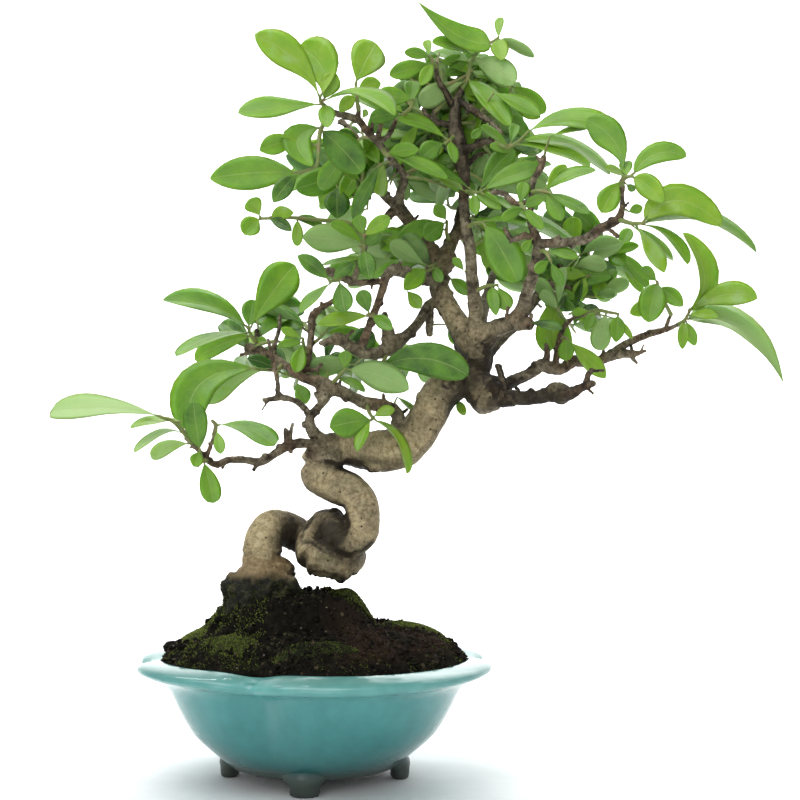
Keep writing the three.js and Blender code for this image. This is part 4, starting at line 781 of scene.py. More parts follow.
limbRoutes = {
    "knob": [[68, 167, 1, 6.5], [73.6, 162.3, -2, 8.8], [78.5, 161.3, -3, 5.6]],
    "left_trunk": [
        [69.5, 178, 3, 6], [64.5, 186.5, 6, 5.4], [59.5, 195, 10, 5.1], [55, 203, 14, 4.9],
        [52.8, 211, 18, 4.4], [54.6, 219, 22, 3.7], [58, 227, 26, 3.2], [61.5, 234, 29, 2.7],
        [62, 240, 30, 2.1], [64, 246, 32, 1.6],
    ],
    "right_limb": [
        [71, 184, 0, 5], [77, 190.5, -6, 4], [84, 193, -12, 3.4], [88.5, 199, -17, 2.8], [91, 206, -22, 2.6],
        [93.5, 214, -27, 2.5], [95.5, 222, -32, 2.4], [96, 228, -36, 2.2],
    ],
    "right_stub": [[82, 192.5, -10, 3], [88, 192.5, -14, 2.9], [93, 192.3, -16, 2.4]],
    "right_fan": [
        [95.8, 227, -36, 2.2], [103, 227.5, -42, 2], [110, 228, -47, 1.9], [117, 229.5, -52, 2.1],
        [123, 234, -56, 2], [130, 237.5, -60, 1.8], [132, 242, -62, 1.3], [132, 248, -63, 1],
        [132, 253.5, -64, 1.1],
    ],
    "right_inner": [[96, 227, -36, 1.8], [90, 230.5, -36, 1.5], [84.5, 229, -35, 1.3], [81, 234, -34, 0.9]],
    "right_riser": [
        [95.8, 228, -36, 1.8], [92.5, 237, -35, 1.5], [93, 246, -33, 1.4], [93.5, 254, -30, 1.3],
        [97, 260, -28, 1.6], [98.5, 265, -26, 1.2],
    ],
    "right_riser_side": [
        [93, 245.5, -33, 1.3], [86, 244.8, -32, 1.2], [81, 249, -31, 1.3], [75.5, 249.5, -30, 1],
    ],
    "back_right": [
        [71.5, 177, 5, 3], [79, 185, 14, 2.3], [86, 192, 22, 2.3], [93, 201, 31, 2.3], [98, 207.5, 38, 2.1],
        [106, 208.5, 46, 1.8], [112, 205, 52, 1.4], [111.5, 199, 54, 1],
    ],
    "back_right_tip": [[111, 206, 51, 1.3], [116, 212, 56, 1.2], [120, 218, 60, 1.2], [124, 223, 64, 0.9]],
    "back_right_side": [[105.5, 208.5, 46, 1.3], [108, 215, 50, 1.1], [104, 218, 54, 0.9]],
    "low_right": [
        [78, 161, -3, 4.6], [86, 160.5, -7, 3.3], [94, 160.6, -11, 2.9], [100, 162, -14, 3.2],
        [104.6, 162.6, -16, 4.8], [109.6, 162.6, -19, 2.7], [114, 165, -22, 1.9], [119.5, 167, -26, 1.5],
    ],
    "low_right_spur": [[116, 165.8, -23, 1.6], [117, 170.5, -22, 1.3], [118.8, 173, -20, 1.1]],
    "mid_right": [
        [77, 163.5, 0, 3], [86, 168.5, 6, 2.6], [92, 171, 9, 2.6], [97, 174.6, 12, 3.1],
        [101, 173.6, 14, 3.1], [106, 173.2, 17, 2.6], [110, 176.5, 20, 2.6], [115, 176, 23, 2.4],
        [121, 176.2, 26, 2.3], [126, 179, 28, 2.2], [132, 183, 31, 1.9], [138, 186, 34, 1.7],
        [145, 188.6, 37, 1.8], [151, 190.2, 40, 1.3], [157, 192.8, 42, 1],
    ],
    "mid_right_spur": [[98.5, 175, 12, 2], [99.5, 180, 13, 1.4], [99, 184, 14, 1.1]],
    "mid_right_torn": [[123, 177, 28, 2], [131, 179.5, 29, 2.3], [137, 179.6, 30, 1.6], [142, 181, 31, 0.6]],
    "mid_right_hook": [[135.5, 178.6, 30, 1.2], [138, 175.3, 31, 0.7]],
    "mid_right_twig": [
        [103, 175, 15, 1.6], [104, 183, 18, 1.4], [106, 190, 21, 1.2], [110, 194.5, 24, 1],
        [117, 197, 28, 0.8],
    ],
    "mid_right_riser": [[150.5, 190.5, 39, 1.1], [151.7, 194, 38, 0.9], [153, 197, 37, 0.8]],
    "cut_stub": [[82, 163, -6, 1.8], [80.2, 169, -8, 1.5], [78, 175, -10, 1.4]],
    "left_limb": [
        [54, 203, 14, 2.6], [49, 200.5, 13, 2.3], [44, 193, 8, 2.2], [38, 186.5, 3, 2.5],
        [31.5, 181.5, -2, 3.2], [26, 179.6, -6, 2.5], [20, 180, -10, 2.4], [14, 183.5, -14, 2.4],
        [9, 186, -18, 2.7], [5, 184.8, -20, 1.5], [1.5, 184, -22, 1],
    ],
    "left_knuckle": [[30.5, 179, -2, 3], [31.5, 186, -2, 3.5], [30, 193, -2, 2], [29.5, 197.5, -2, 1.2]],
    "left_drop": [[49, 200, 13, 2.2], [48.7, 193, 15, 1.9], [49, 187.5, 16, 1.6]],
    "pale_limb": [
        [18.5, 179.5, -10, 2.1], [22, 189, -13, 1.8], [25.5, 198, -16, 1.7], [28.5, 207, -15, 1.7],
        [31.3, 214.5, -12, 2.2], [38, 214.8, -2, 2.5], [47, 211.5, 8, 2.6], [53, 211, 17, 2.6],
    ],
    "pale_side": [
        [29.8, 210.8, -14, 1.6], [24, 210.6, -16, 1.5], [17, 210.3, -18, 1.6], [11, 213, -21, 1.9],
        [5, 215, -24, 2], [1.5, 213.3, -26, 0.9],
    ],
    "pale_riser": [
        [16, 211, -19, 1.4], [19.5, 220, -16, 1.3], [22, 229, -8, 1.5], [27, 234, 3, 1.7],
        [31.5, 239.5, 13, 2], [35.5, 243, 20, 2.4],
    ],
    "upper_left": [
        [53.8, 218, 22, 3.5], [49, 226, 24, 3.1], [44, 233, 24, 2.8], [39, 238.5, 22, 3],
        [35.6, 243.5, 20, 3], [36.5, 250, 14, 1.9], [38, 256, 8, 1.7], [34, 262, 0, 1.5],
        [28.5, 269, -8, 1.5], [22, 276, -14, 1.6], [18, 281, -18, 1.7], [12, 283, -22, 1.6],
        [7, 284.5, -24, 1.3], [3, 287.5, -26, 1],
    ],
    "upper_left_spur": [[37.6, 255.5, 8, 1.4], [40, 257.5, 6, 1]],
    "upper_left_hook": [
        [26.5, 271, -10, 1.4], [31, 274, -8, 1.2], [33.5, 279, -6, 1.1], [35, 281.8, -4, 0.9],
    ],
    "upper_left_peg": [[26.3, 272, -10, 1.4], [28, 279.5, -11, 1]],
    "upper_left_bud": [[18, 281.5, -18, 1.3], [18.5, 287.3, -18, 0.8]],
    "back_left": [
        [34.5, 244, 20, 2.5], [29.5, 248, 26, 2.1], [27, 254, 32, 2], [24, 261, 38, 1.9], [20, 269, 44, 1.7],
        [15.5, 275.5, 48, 1.6], [10.5, 281, 52, 1.3],
    ],
    "back_left_torn": [[27.3, 252, 30, 2], [22, 249.5, 26, 1.8], [15.5, 248, 22, 0.6]],
    "back_left_hook": [[24, 250.2, 27, 1.7], [18, 243, 24, 0.6]],
    "low_left": [
        [5, 139, 0, 3.4], [-3, 141, -6, 2.3], [-8, 141, -10, 2.1], [-13, 139.6, -14, 2.1],
        [-18, 136.2, -18, 1.9], [-23, 133.4, -21, 1.9], [-30, 134, -26, 1.6], [-37, 134, -30, 1.6],
        [-43, 132.2, -34, 1.5], [-47, 134.8, -36, 1.3], [-51, 139, -39, 0.9], [-56, 143.6, -43, 0.8],
    ],
    "low_left_fork": [[-12, 140.5, -13, 1.6], [-13, 147.5, -14, 1]],
    "low_left_prong": [[-11.5, 142, -13, 1.4], [-9.7, 150, -12, 0.7]],
    "low_left_peg": [[-47, 135, -36, 1.2], [-50.8, 131.2, -36, 0.7]],
    "low_left_twig": [[-46.8, 135, -36, 1.1], [-44.2, 142, -38, 0.9], [-42.8, 147, -40, 0.9]],
    "mid_left": [
        [5, 140, 1, 3.4], [-1.5, 146.5, -3, 2.6], [-2.5, 152, -5, 2.1], [2, 157.5, -4, 1.8],
        [5.5, 164.5, 0, 3.5],
    ],
    "mid_left_knuckle": [[-1.5, 149, -3, 2.4], [-5.5, 149.3, -4, 1.6]],
    "mid_left_arm": [
        [-2.5, 152.5, -5, 1.7], [-5, 156.5, -7, 1.5], [-9, 159.5, -9, 1.4], [-15, 160.6, -12, 1.3],
        [-22.4, 159.6, -16, 1.1],
    ],
    "mid_left_stem": [
        [-16.3, 160.6, -12.5, 1.1], [-16.5, 169, -13, 1], [-18.5, 177, -14, 0.9], [-20.5, 186, -15, 0.8],
    ],
    "gnarled": [
        [36, 144, 1, 4.5], [36, 150, 1, 2.8], [34, 155, 2, 2.8], [28, 157.2, 2, 3.1], [21, 158.6, 2, 2.8],
        [15, 161.6, 1, 2.5], [8, 164.6, 0, 3.1], [2, 167.2, 2, 2.9], [-7, 170, 6, 1.9], [-12, 174, 9, 1.8],
        [-18, 177.6, 14, 2.1], [-24, 180.6, 18, 2.3], [-29.5, 182.3, 21, 2.6],
    ],
    "gnarled_riser": [
        [-7, 169.5, 6, 1.8], [-4, 176, 8, 1.9], [-2.5, 183, 10, 1.6], [-1.8, 190, 12, 1.6],
        [-1.4, 195.7, 13, 1.9], [2, 199, 14, 1.6], [8.5, 203, 16, 1.1],
    ],
    "gnarled_peg": [[-5, 173, 7, 1.2], [0.5, 173, 6, 1], [2.8, 175.5, 6, 0.9]],
    "gnarled_stub": [[-25, 181.5, 19, 1.6], [-25.5, 190, 22, 1.1]],
    "gnarled_twig": [
        [-18, 178.5, 14, 1.2], [-17.6, 184, 13, 1.1], [-16, 189, 13, 1], [-15.4, 196.5, 13, 0.8],
    ],
    "top_left": [[60, 285, 4, 1.7], [56, 293, 0, 1.4], [52.6, 299, -4, 1.2], [51.5, 306.3, -6, 1]],
    "top_side": [[59.5, 278.5, 3, 1.7], [53, 280, 2, 1.4], [48, 283, 0, 1.2], [46, 286, -1, 0.9]],
    "top_peg": [[50.7, 281, 1, 1.1], [51, 287, 1, 0.7]],
    "top_right": [[61, 290, 4, 1.7], [68, 285, -2, 1.6], [74, 281, -6, 1.4], [80, 275.5, -10, 1]],
    "knot_right": [[62, 267, 1, 2.4], [68, 269.3, -4, 1.7], [74, 271.5, -8, 1.3], [79, 272, -10, 1]],
    "knot_twig": [[65, 261, 1, 1.4], [69.5, 265.5, 4, 1.1], [74, 266.3, 7, 0.8]],
    "rear_low": [[62, 169, 6, 4], [55, 172, 30, 2.4], [49, 176, 52, 1.7], [45, 178, 68, 1]],
    "rear_mid": [[70, 190, 4, 3], [73, 203, 30, 2.2], [77, 216, 55, 1.6], [79, 223, 72, 1]],
    "rear_left": [[54, 213, 20, 3], [46, 214, 42, 2], [40, 217, 62, 1.5], [36, 222, 76, 1]],
    "rear_top": [[61.5, 268, 3, 2.8], [64, 262, 30, 1.9], [74, 258, 52, 1.3], [80, 258, 66, 1]],
}


def smoothPath(places, perSpan):
    # a centripetal Catmull-Rom curve through the places, with perSpan samples a span
    p = np.asarray(places, dtype=float)
    p = np.vstack([2 * p[0] - p[1], p, 2 * p[-1] - p[-2]])
    samples = []
    for i in range(1, len(p) - 2):
        gaps = [max(1e-6, np.linalg.norm(p[k + 1] - p[k])) ** 0.5 for k in (i - 1, i, i + 1)]
        a, b, c = gaps
        slope1 = ((p[i] - p[i - 1]) / a - (p[i + 1] - p[i - 1]) / (a + b) + (p[i + 1] - p[i]) / b) * b
        slope2 = ((p[i + 1] - p[i]) / b - (p[i + 2] - p[i]) / (b + c) + (p[i + 2] - p[i + 1]) / c) * b
        for t in np.arange(perSpan) / perSpan:
            h = (2 * t**3 - 3 * t**2 + 1, t**3 - 2 * t**2 + t, -2 * t**3 + 3 * t**2, t**3 - t**2)
            samples.append(h[0] * p[i] + h[1] * slope1 + h[2] * p[i + 1] + h[3] * slope2)
    samples.append(p[-2])
    return np.array(samples)


def framesAlong(path):
    tangents = np.gradient(path, axis=0)
    tangents /= np.linalg.norm(tangents, axis=1)[:, None]
    normal = np.array([0.31, 0.82, 0.48])
    normals, sides = [], []
    for tangent in tangents:
        normal = unit(normal - tangent * normal.dot(tangent))
        normals.append(normal)
        sides.append(np.cross(tangent, normal))
    return tangents, np.array(normals), np.array(sides)


def tube(path, radii, sides):
    tangents, normals, binormals = framesAlong(path)
    turns = np.linspace(0, 2 * math.pi, sides, endpoint=False)
    rings = [
        middle + radius * (np.cos(turns)[:, None] * n + np.sin(turns)[:, None] * b)
        for middle, radius, n, b in zip(path, radii, normals, binormals)
    ]
    return closedLoft(
        rings, path[0] - tangents[0] * radii[0] * 0.3, path[-1] + tangents[-1] * radii[-1] * 0.5
    )


def routeSamples(route, perSpan):
    path = smoothPath([seen(x, z, y) for x, z, y, _ in route], perSpan)
    radii = np.interp(np.arange(len(path)) / perSpan, np.arange(len(route)), [r[3] for r in route])
    return path, radii


barkSamples = []  # every centreline point, with its arc length and radius, to lay the grain by


def noteSamples(path, radii):
    tangents, normals, binormals = framesAlong(path)
    arc = np.concatenate([[0], np.cumsum(np.linalg.norm(np.diff(path, axis=0), axis=1))])
    offset = 37.0 * len(barkSamples)
    for row in zip(path, radii, arc + offset, tangents, normals, binormals):
        barkSamples.append(row)


def lump(heap, place, size, dice, stretch=(1, 1, 1)):
    points, faces = roundBody(2)
    heap.add(raggedBody(points, stretch, dice, 0.3, 1.6, place, size) + place, faces)


def spur(heap, start, direction, length, radius, dice):
    # the stub of a shed twig, thicker at its foot and at its torn end
    bend = anyDirection(dice) * 0.25
    direction, foot = Vector(direction).normalized(), Vector(start)
    places = [foot, foot + (direction + bend * 0.5) * length * 0.5, foot + (direction + bend) * length]
    path = smoothPath([tuple(p) for p in places], 3)
    swell = [radius * 1.5, radius, radius * 0.9, radius * 1.05]
    heap.add(*tube(path, np.interp(np.linspace(0, 1, len(path)), [0, 0.35, 0.8, 1], swell), 7))


def remeshed(heap, skin):
    body = solidObject(heap.points, heap.faces)
    remesh = body.modifiers.new("one_skin", "REMESH")
    remesh.mode, remesh.voxel_size = "VOXEL", skin["voxelMm"]
    soften = body.modifiers.new("soften", "SMOOTH")
    soften.factor, soften.iterations = 0.5, skin["smoothing"]
    body.modifiers.new("thin", "DECIMATE").ratio = skin["kept"]
    return evaluated(body)


# How finely each part of the wood is skinned: the share of its faces that is kept, and the
# number of rays that look for the sky from each point
woodSkins = {
    "trunk": {"voxelMm": 0.62, "smoothing": 6, "kept": 0.64, "rays": 24},
    "stout_branches": {"voxelMm": 0.5, "smoothing": 4, "kept": 0.46, "rays": 12},
    "fine_branches": {"voxelMm": 0.42, "smoothing": 3, "kept": 0.5, "rays": 10},
}
knots = {
    "stoutFrom": 2.35,  # mm, radius from which a branch counts as stout
    "spacing": (1.8, 4.8),
    "plainShare": 0.62,  # of the knots, which carry no shed twig
}
# Where shade is painted dark onto the bark, as seen from the front, under the crown and in the
# hollows of the coil: x, z, half width, half height and strength, all but the last in mm
paintedShadeSpots = [
    (62.3, 272, 9, 34, 0.85), (66, 170, 17, 19, 0.95), (94, 160, 30, 10, 1.0), (7.5, 102, 8, 8.5, 1.5),
    (-11.5, 103, 5, 9, 0.7), (12, 131, 9, 3.5, 0.7), (16, 141, 10, 7, 0.4), (44, 150, 12, 6, 0.5),
    (-5, 150, 10, 9, 0.2), (3, 91, 14, 5, 0.4),
]
# Burrs of the trunk as [x, z, y, size]: a knob on the coil's back, a ridge over the crease
# and the bosses of the rootstock
swellings = [
    (4.5, 103.5, 2, 5.4), (1, 136.5, -2, 4.6), (8, 134.5, -4.5, 3.6), (47, 160, -4, 4.4), (56, 168, -4, 4.2),
    (70, 178, -1, 5.2), (66, 174, 6, 5.0), (26, 133.5, -1, 5.6), (-26.5, 84, -3, 7.5), (-16.5, 85.5, -2, 7),
    (-33, 80, -5, 6.5), (-12, 79, -6, 6), (-25, 74, -12, 6), (-36, 70, -3, 5), (-9, 71, -7, 6),
    (-18, 68, -13, 6),
]
# Creases where two coils of the stem press together, pressed in and painted dark with shade where they face
# the front: the [x, z] places along each
creases = [
    [(-1.1, 109.6), (-5.4, 104), (-6.2, 99.3), (-1.5, 99.3)],
    [(-1.5, 99.3), (4.1, 95.4), (12.6, 93.3), (19.9, 95), (24.2, 98.4)],
    [(11.3, 113.9), (13.5, 107.4), (12.6, 100.6), (15.6, 95.9)],
    [(4.9, 133.1), (10.5, 131.4), (15.6, 130.6), (22, 129.5)],
]


def asSeen(point):
    # where a point of the plant appears from the front
    scale = eye[1] / (eye[1] - point[1])
    return eye[0] + (point[0] - eye[0]) * scale, eye[2] + (point[2] - eye[2]) * scale


def distanceTo(line, x, z):
    best = 99.0
    for (ax, az), (bx, bz) in zip(line, line[1:]):
        share = ((x - ax) * (bx - ax) + (z - az) * (bz - az)) / ((bx - ax) ** 2 + (bz - az) ** 2)
        share = min(1.0, max(0.0, share))
        best = min(best, math.hypot(x - ax - share * (bx - ax), z - az - share * (bz - az)))
    return best


def paintedShadeAt(p, facing):
    # painted shade from 0 to 1, from the shade spots and the front creases, and how deep in a crease the
    # point lies
    x, z = asSeen(p)
    paintedShade = 0.0
    for sx, sz, wide, tall, strength in paintedShadeSpots:
        paintedShade = max(paintedShade, strength * math.exp(-(((x - sx) / wide) ** 2) - ((z - sz) / tall) ** 2))
    crease = 0.0
    if facing and 90 < z < 137 and -10 < x < 28:
        wobble = 0.5 * noise.noise(Vector((x / 2.5, z / 2.5, 0.3)))
        near = min(distanceTo(line, x, z) for line in creases) + wobble
        crease = math.exp(-((near / 1.1) ** 2))
        paintedShade = max(paintedShade, 0.75 * crease)
    return paintedShade, crease


def barkReliefMm(p, arc, round1, round2, radius):
    # swellings, cross wrinkles and a fine tooth, all in mm
    swell = noise.noise(Vector(p) / (1.2 * radius + 2)) * min(0.55, 0.07 * radius + 0.14)
    ring = noise.noise(Vector((arc / 1.5, round1 / 5, round2 / 5)))
    rings = -max(0.0, ring - 0.1) * (0.42 if radius > 5 else 0.25)
    if radius < 5.5:  # ridges along the branches
        ridge = noise.noise(Vector((arc / 7, round1 / 0.9, round2 / 0.9)))
        rings += 0.26 * ridge * min(1.0, radius / 2.5)
    tooth = noise.fractal(Vector(p) / 1.3, 0.9, 2.2, 2) * (0.12 if radius > 5 else 0.24)
    if p[0] < -12 and 89 < p[2] < 99:  # the ring where the stem was once bound
        ring = p[2] - 94 - 0.7 * noise.noise(Vector(p) / 6)
        tooth += 0.35 * math.exp(-(((ring - 1.3) / 0.8) ** 2)) - 0.75 * math.exp(-((ring / 0.5) ** 2))
    if p[2] < 88 and radius > 7:  # the rootstock is clad in dead moss and grit
        clad = float(smoothstep(p[2], 88, 84))
        grit = 1.3 * (0.5 - noise.voronoi(Vector(p) / 2.1)[0][0])
        tooth += clad * (2.6 * noise.fractal(Vector(p) / 5.5, 0.8, 2.1, 3) + grit)
    return swell + rings + tooth


def occlusionShadeRays(piece, count):
    # how much of the sky each point of the bark misses, painted into the
    # bark's colour as shade
    mesh = piece.data
    tree = BVHTree.FromPolygons([v.co for v in mesh.vertices], [p.vertices for p in mesh.polygons])
    dice = random.Random(3)
    rays = []
    for _ in range(count):
        rays.append(Vector((dice.gauss(0, 1), dice.gauss(0, 1), dice.gauss(0, 1) + 0.45)).normalized())
    shelter = []
    for vertex in mesh.vertices:
        normal = vertex.normal
        start = vertex.co + normal * 0.0006
        sky = 0
        for ray in rays:
            if ray.dot(normal) > 0 and tree.ray_cast(start, ray, 0.03)[0] is None:
                sky += 1
        shelter.append(1 - min(1.0, sky / (0.62 * count)))
    noteOnPoints(mesh, "shelter", shelter)


def clothe(name, heap, skin, tree):
    points, faces = remeshed(heap, skin)
    rows = [barkSamples[tree.find(p)[1]] for p in points]
    grain, girths, relief, aged = [], [], [], []
    for p, (middle, radius, arc, tangent, normal, side) in zip(points, rows):
        out = p - middle
        along = arc + out.dot(tangent)
        round1, round2 = out.dot(normal), out.dot(side)
        grain.append((along, round1, round2))
        girths.append(radius)
        paintedShade, crease = paintedShadeAt(p, out[1] < 0.25 * radius)
        aged.append(paintedShade)
        relief.append(barkReliefMm(p, along, round1, round2, radius) - 0.65 * crease)
    piece = newPiece(name, points, faces, [bark], ["trunk_and_branches"])
    mesh = piece.data
    normals = np.empty(len(points) * 3)
    mesh.vertex_normals.foreach_get("vector", normals)
    moved = inFrame(points + normals.reshape(-1, 3) * np.array(relief)[:, None])
    mesh.vertices.foreach_set("co", moved.ravel())
    mesh.attributes.new("grain", "FLOAT_VECTOR", "POINT").data.foreach_set("vector", np.array(grain).ravel())
    noteOnPoints(mesh, "girth", girths)
    noteOnPoints(mesh, "aged", aged)
    mesh.update()
    occlusionShadeRays(piece, skin["rays"])
    print(name, len(faces), "faces")


def makeWood():
    dice = random.Random(5)
    heaps = {name: Heap() for name in woodSkins}
    for route in trunkRoutes:
        path, radii = routeSamples(route, 6)
        noteSamples(path, radii)
        heaps["trunk"].add(*tube(path, radii, 24))
    for route in limbRoutes.values():
        path, radii = routeSamples(route, 5)
        noteSamples(path, radii)
        stout = max(radii[len(radii) // 6 :]) > knots["stoutFrom"]
        heap = heaps["stout_branches" if stout else "fine_branches"]
        heap.add(*tube(path, radii, 12 if stout else 8))
        if stout:
            heaps["trunk"].add(*tube(path[:6], radii[:6] * 1.06, 12))
        tangents, normals, sides = framesAlong(path)
        steps = np.linalg.norm(np.diff(path, axis=0), axis=1)
        wait = dice.uniform(2, 5)
        for i in range(3, len(path) - 1):
            wait -= steps[i - 1]
            if wait > 0:
                continue
            wait = dice.uniform(*knots["spacing"])
            r = radii[i]
            turn = dice.uniform(0, 2 * math.pi)
            out = normals[i] * math.cos(turn) + sides[i] * math.sin(turn)
            kind = dice.random()
            if kind < knots["plainShare"] or r > 4.5:
                lump(heap, path[i] + out * r * 0.6, r * dice.uniform(0.5, 0.85) + 0.25, dice, (1, 1, 0.8))
            else:
                lean = out + tangents[i] * dice.uniform(0.1, 0.9)
                thick = min(0.95, 0.32 * r + 0.25)
                lump(heap, path[i] + out * r * 0.6, thick * 1.35, dice)
                spur(heap, path[i] + out * r * 0.4, lean, r * 0.6 + dice.uniform(1.2, 4.2), thick, dice)
    for x, z, y, size in swellings:
        lump(heaps["trunk"], seen(x, z, y), size, dice, (1.15, 1, 0.8))
    tree = KDTree(len(barkSamples))
    for i, row in enumerate(barkSamples):
        tree.insert(row[0], i)
    tree.balance()
    for name, skin in woodSkins.items():
        clothe("privet_" + name, heaps[name], skin, tree)


makeWood()
print("wood made")

# Leaves

# Fresh privet leaf: a thin cuticle gives the upper side a soft satin gloss, the sun goes
# through the blade and turns it yellow-green, and the midrib is paler than the blade
leafPalette = {
    # from pale with a painted whitish sheen, through young, to old
    "upper": ("#98b76c", "#88ac2f", "#76a228", "#5f8b2c", "#2f5118"),
    "under": ("#a3bf8a", "#9dbb78", "#8eac66", "#83a55f", "#5c7f4a"),
    "rib": "#a3b96a",
    "veinPairs": 7,
    "gloss": 0.36,  # roughness of the upper side
    "underDuller": 0.2,
    "seeThrough": 0.2,
}


def leafMaterial(name, colours, gloss, veinShare, coat):
    material = newMaterial(name)
    place = addNode(material, "TexCoord").outputs["Object"]
    blade = addNode(material, "UVMap", {"uv_map": "blade"}).outputs["UV"]
    sides = addNode(material, "SeparateXYZ", links={"Vector": blade})
    tone = addNode(material, "Attribute", {"attribute_name": "tone"}).outputs["Fac"]
    blotch = addNode(
        material, "TexNoise", {"Scale": 120.0, "Detail": 4.0, "Roughness": 0.55}, {"Vector": place}
    )
    blotchSpread = addNode(
        material, "MapRange", {"From Min": 0.3, "From Max": 0.7, "To Min": -0.16, "To Max": 0.16},
        {"Value": blotch},
    )
    shade = addNode(material, "Math", {"operation": "ADD"}, {0: tone, 1: blotchSpread})
    ramp = addNode(
        material, "ValToRGB", {"stops": list(zip((0.0, 0.16, 0.36, 0.7, 1.0), colours))}, {"Fac": shade}
    )
    # midrib, and side veins that bend towards the tip
    offset = addNode(material, "Math", {"operation": "SUBTRACT", 1: 0.5}, {0: sides.outputs["Y"]})
    away = addNode(material, "Math", {"operation": "ABSOLUTE"}, {0: offset})
    rib = addNode(material, "MapRange", {"From Min": 0.028, "From Max": 0.008}, {"Value": away})
    sweep = addNode(
        material, "Math", {"operation": "MULTIPLY_ADD", 1: -0.42}, {0: away, 2: sides.outputs["X"]}
    )
    count = addNode(
        material, "Math", {"operation": "MULTIPLY", 1: float(leafPalette["veinPairs"])}, {0: sweep}
    )
    saw = addNode(material, "Math", {"operation": "PINGPONG", 1: 0.5}, {0: count})
    vein = addNode(
        material, "MapRange", {"From Min": 0.09, "From Max": 0.0, "To Max": veinShare}, {"Value": saw}
    )
    lines = addNode(material, "Math", {"operation": "MAXIMUM"}, {0: rib, 1: vein})
    lineShare = addNode(material, "Math", {"operation": "MULTIPLY", 1: 0.4}, {0: lines})
    colour = addNode(material, "Mix", {**colourMix, 7: leafPalette["rib"]}, {0: lineShare, 6: ramp})
    fine = addNode(material, "TexNoise", {"Scale": 650.0, "Detail": 3.0}, {"Vector": place})
    relief = addNode(material, "Math", {"operation": "MULTIPLY_ADD", 1: -1.2}, {0: lines, 2: fine})
    bump = addNode(material, "Bump", {"Strength": 0.35, "Distance": 0.0004}, {"Height": relief})
    sheen = addNode(material, "MapRange", {"To Min": gloss - 0.07, "To Max": gloss + 0.09}, {"Value": blotch})
    finishMaterial(
        material,
        {
            "IOR": 1.45, "Specular IOR Level": 0.42, "Subsurface Weight": leafPalette["seeThrough"],
            "Subsurface Radius": (0.3, 0.6, 0.1), "Subsurface Scale": 0.001, "Coat Weight": coat,
            "Coat Roughness": 0.22,
        },
        {"Base Color": colour, "Roughness": sheen, "Normal": bump},
    )
    return material


upperSide = leafMaterial("privet_leaf_upper_side", leafPalette["upper"], leafPalette["gloss"], 0.24, 0.1)
underside = leafMaterial(
    "privet_leaf_underside", leafPalette["under"], leafPalette["gloss"] + leafPalette["underDuller"], 0.35,
    0.0,
)

# Young privet shoot: green to tan skin, matt, with fine length-wise streaks
shootSkin = newMaterial("young_privet_shoot")
shootPlace = addNode(shootSkin, "TexCoord").outputs["Object"]
shootNoise = addNode(shootSkin, "TexNoise", {"Scale": 320.0, "Detail": 4.0}, {"Vector": shootPlace})
shootTone = addNode(
    shootSkin, "ValToRGB", {"stops": [(0.3, "#5f7a34"), (0.5, "#7d8a4a"), (0.7, "#8a7d55")]},
    {"Fac": shootNoise},
)
shootBump = addNode(shootSkin, "Bump", {"Strength": 0.4, "Distance": 0.0003}, {"Height": shootNoise})
finishMaterial(shootSkin, {"Roughness": 0.6}, {"Base Color": shootTone, "Normal": shootBump})

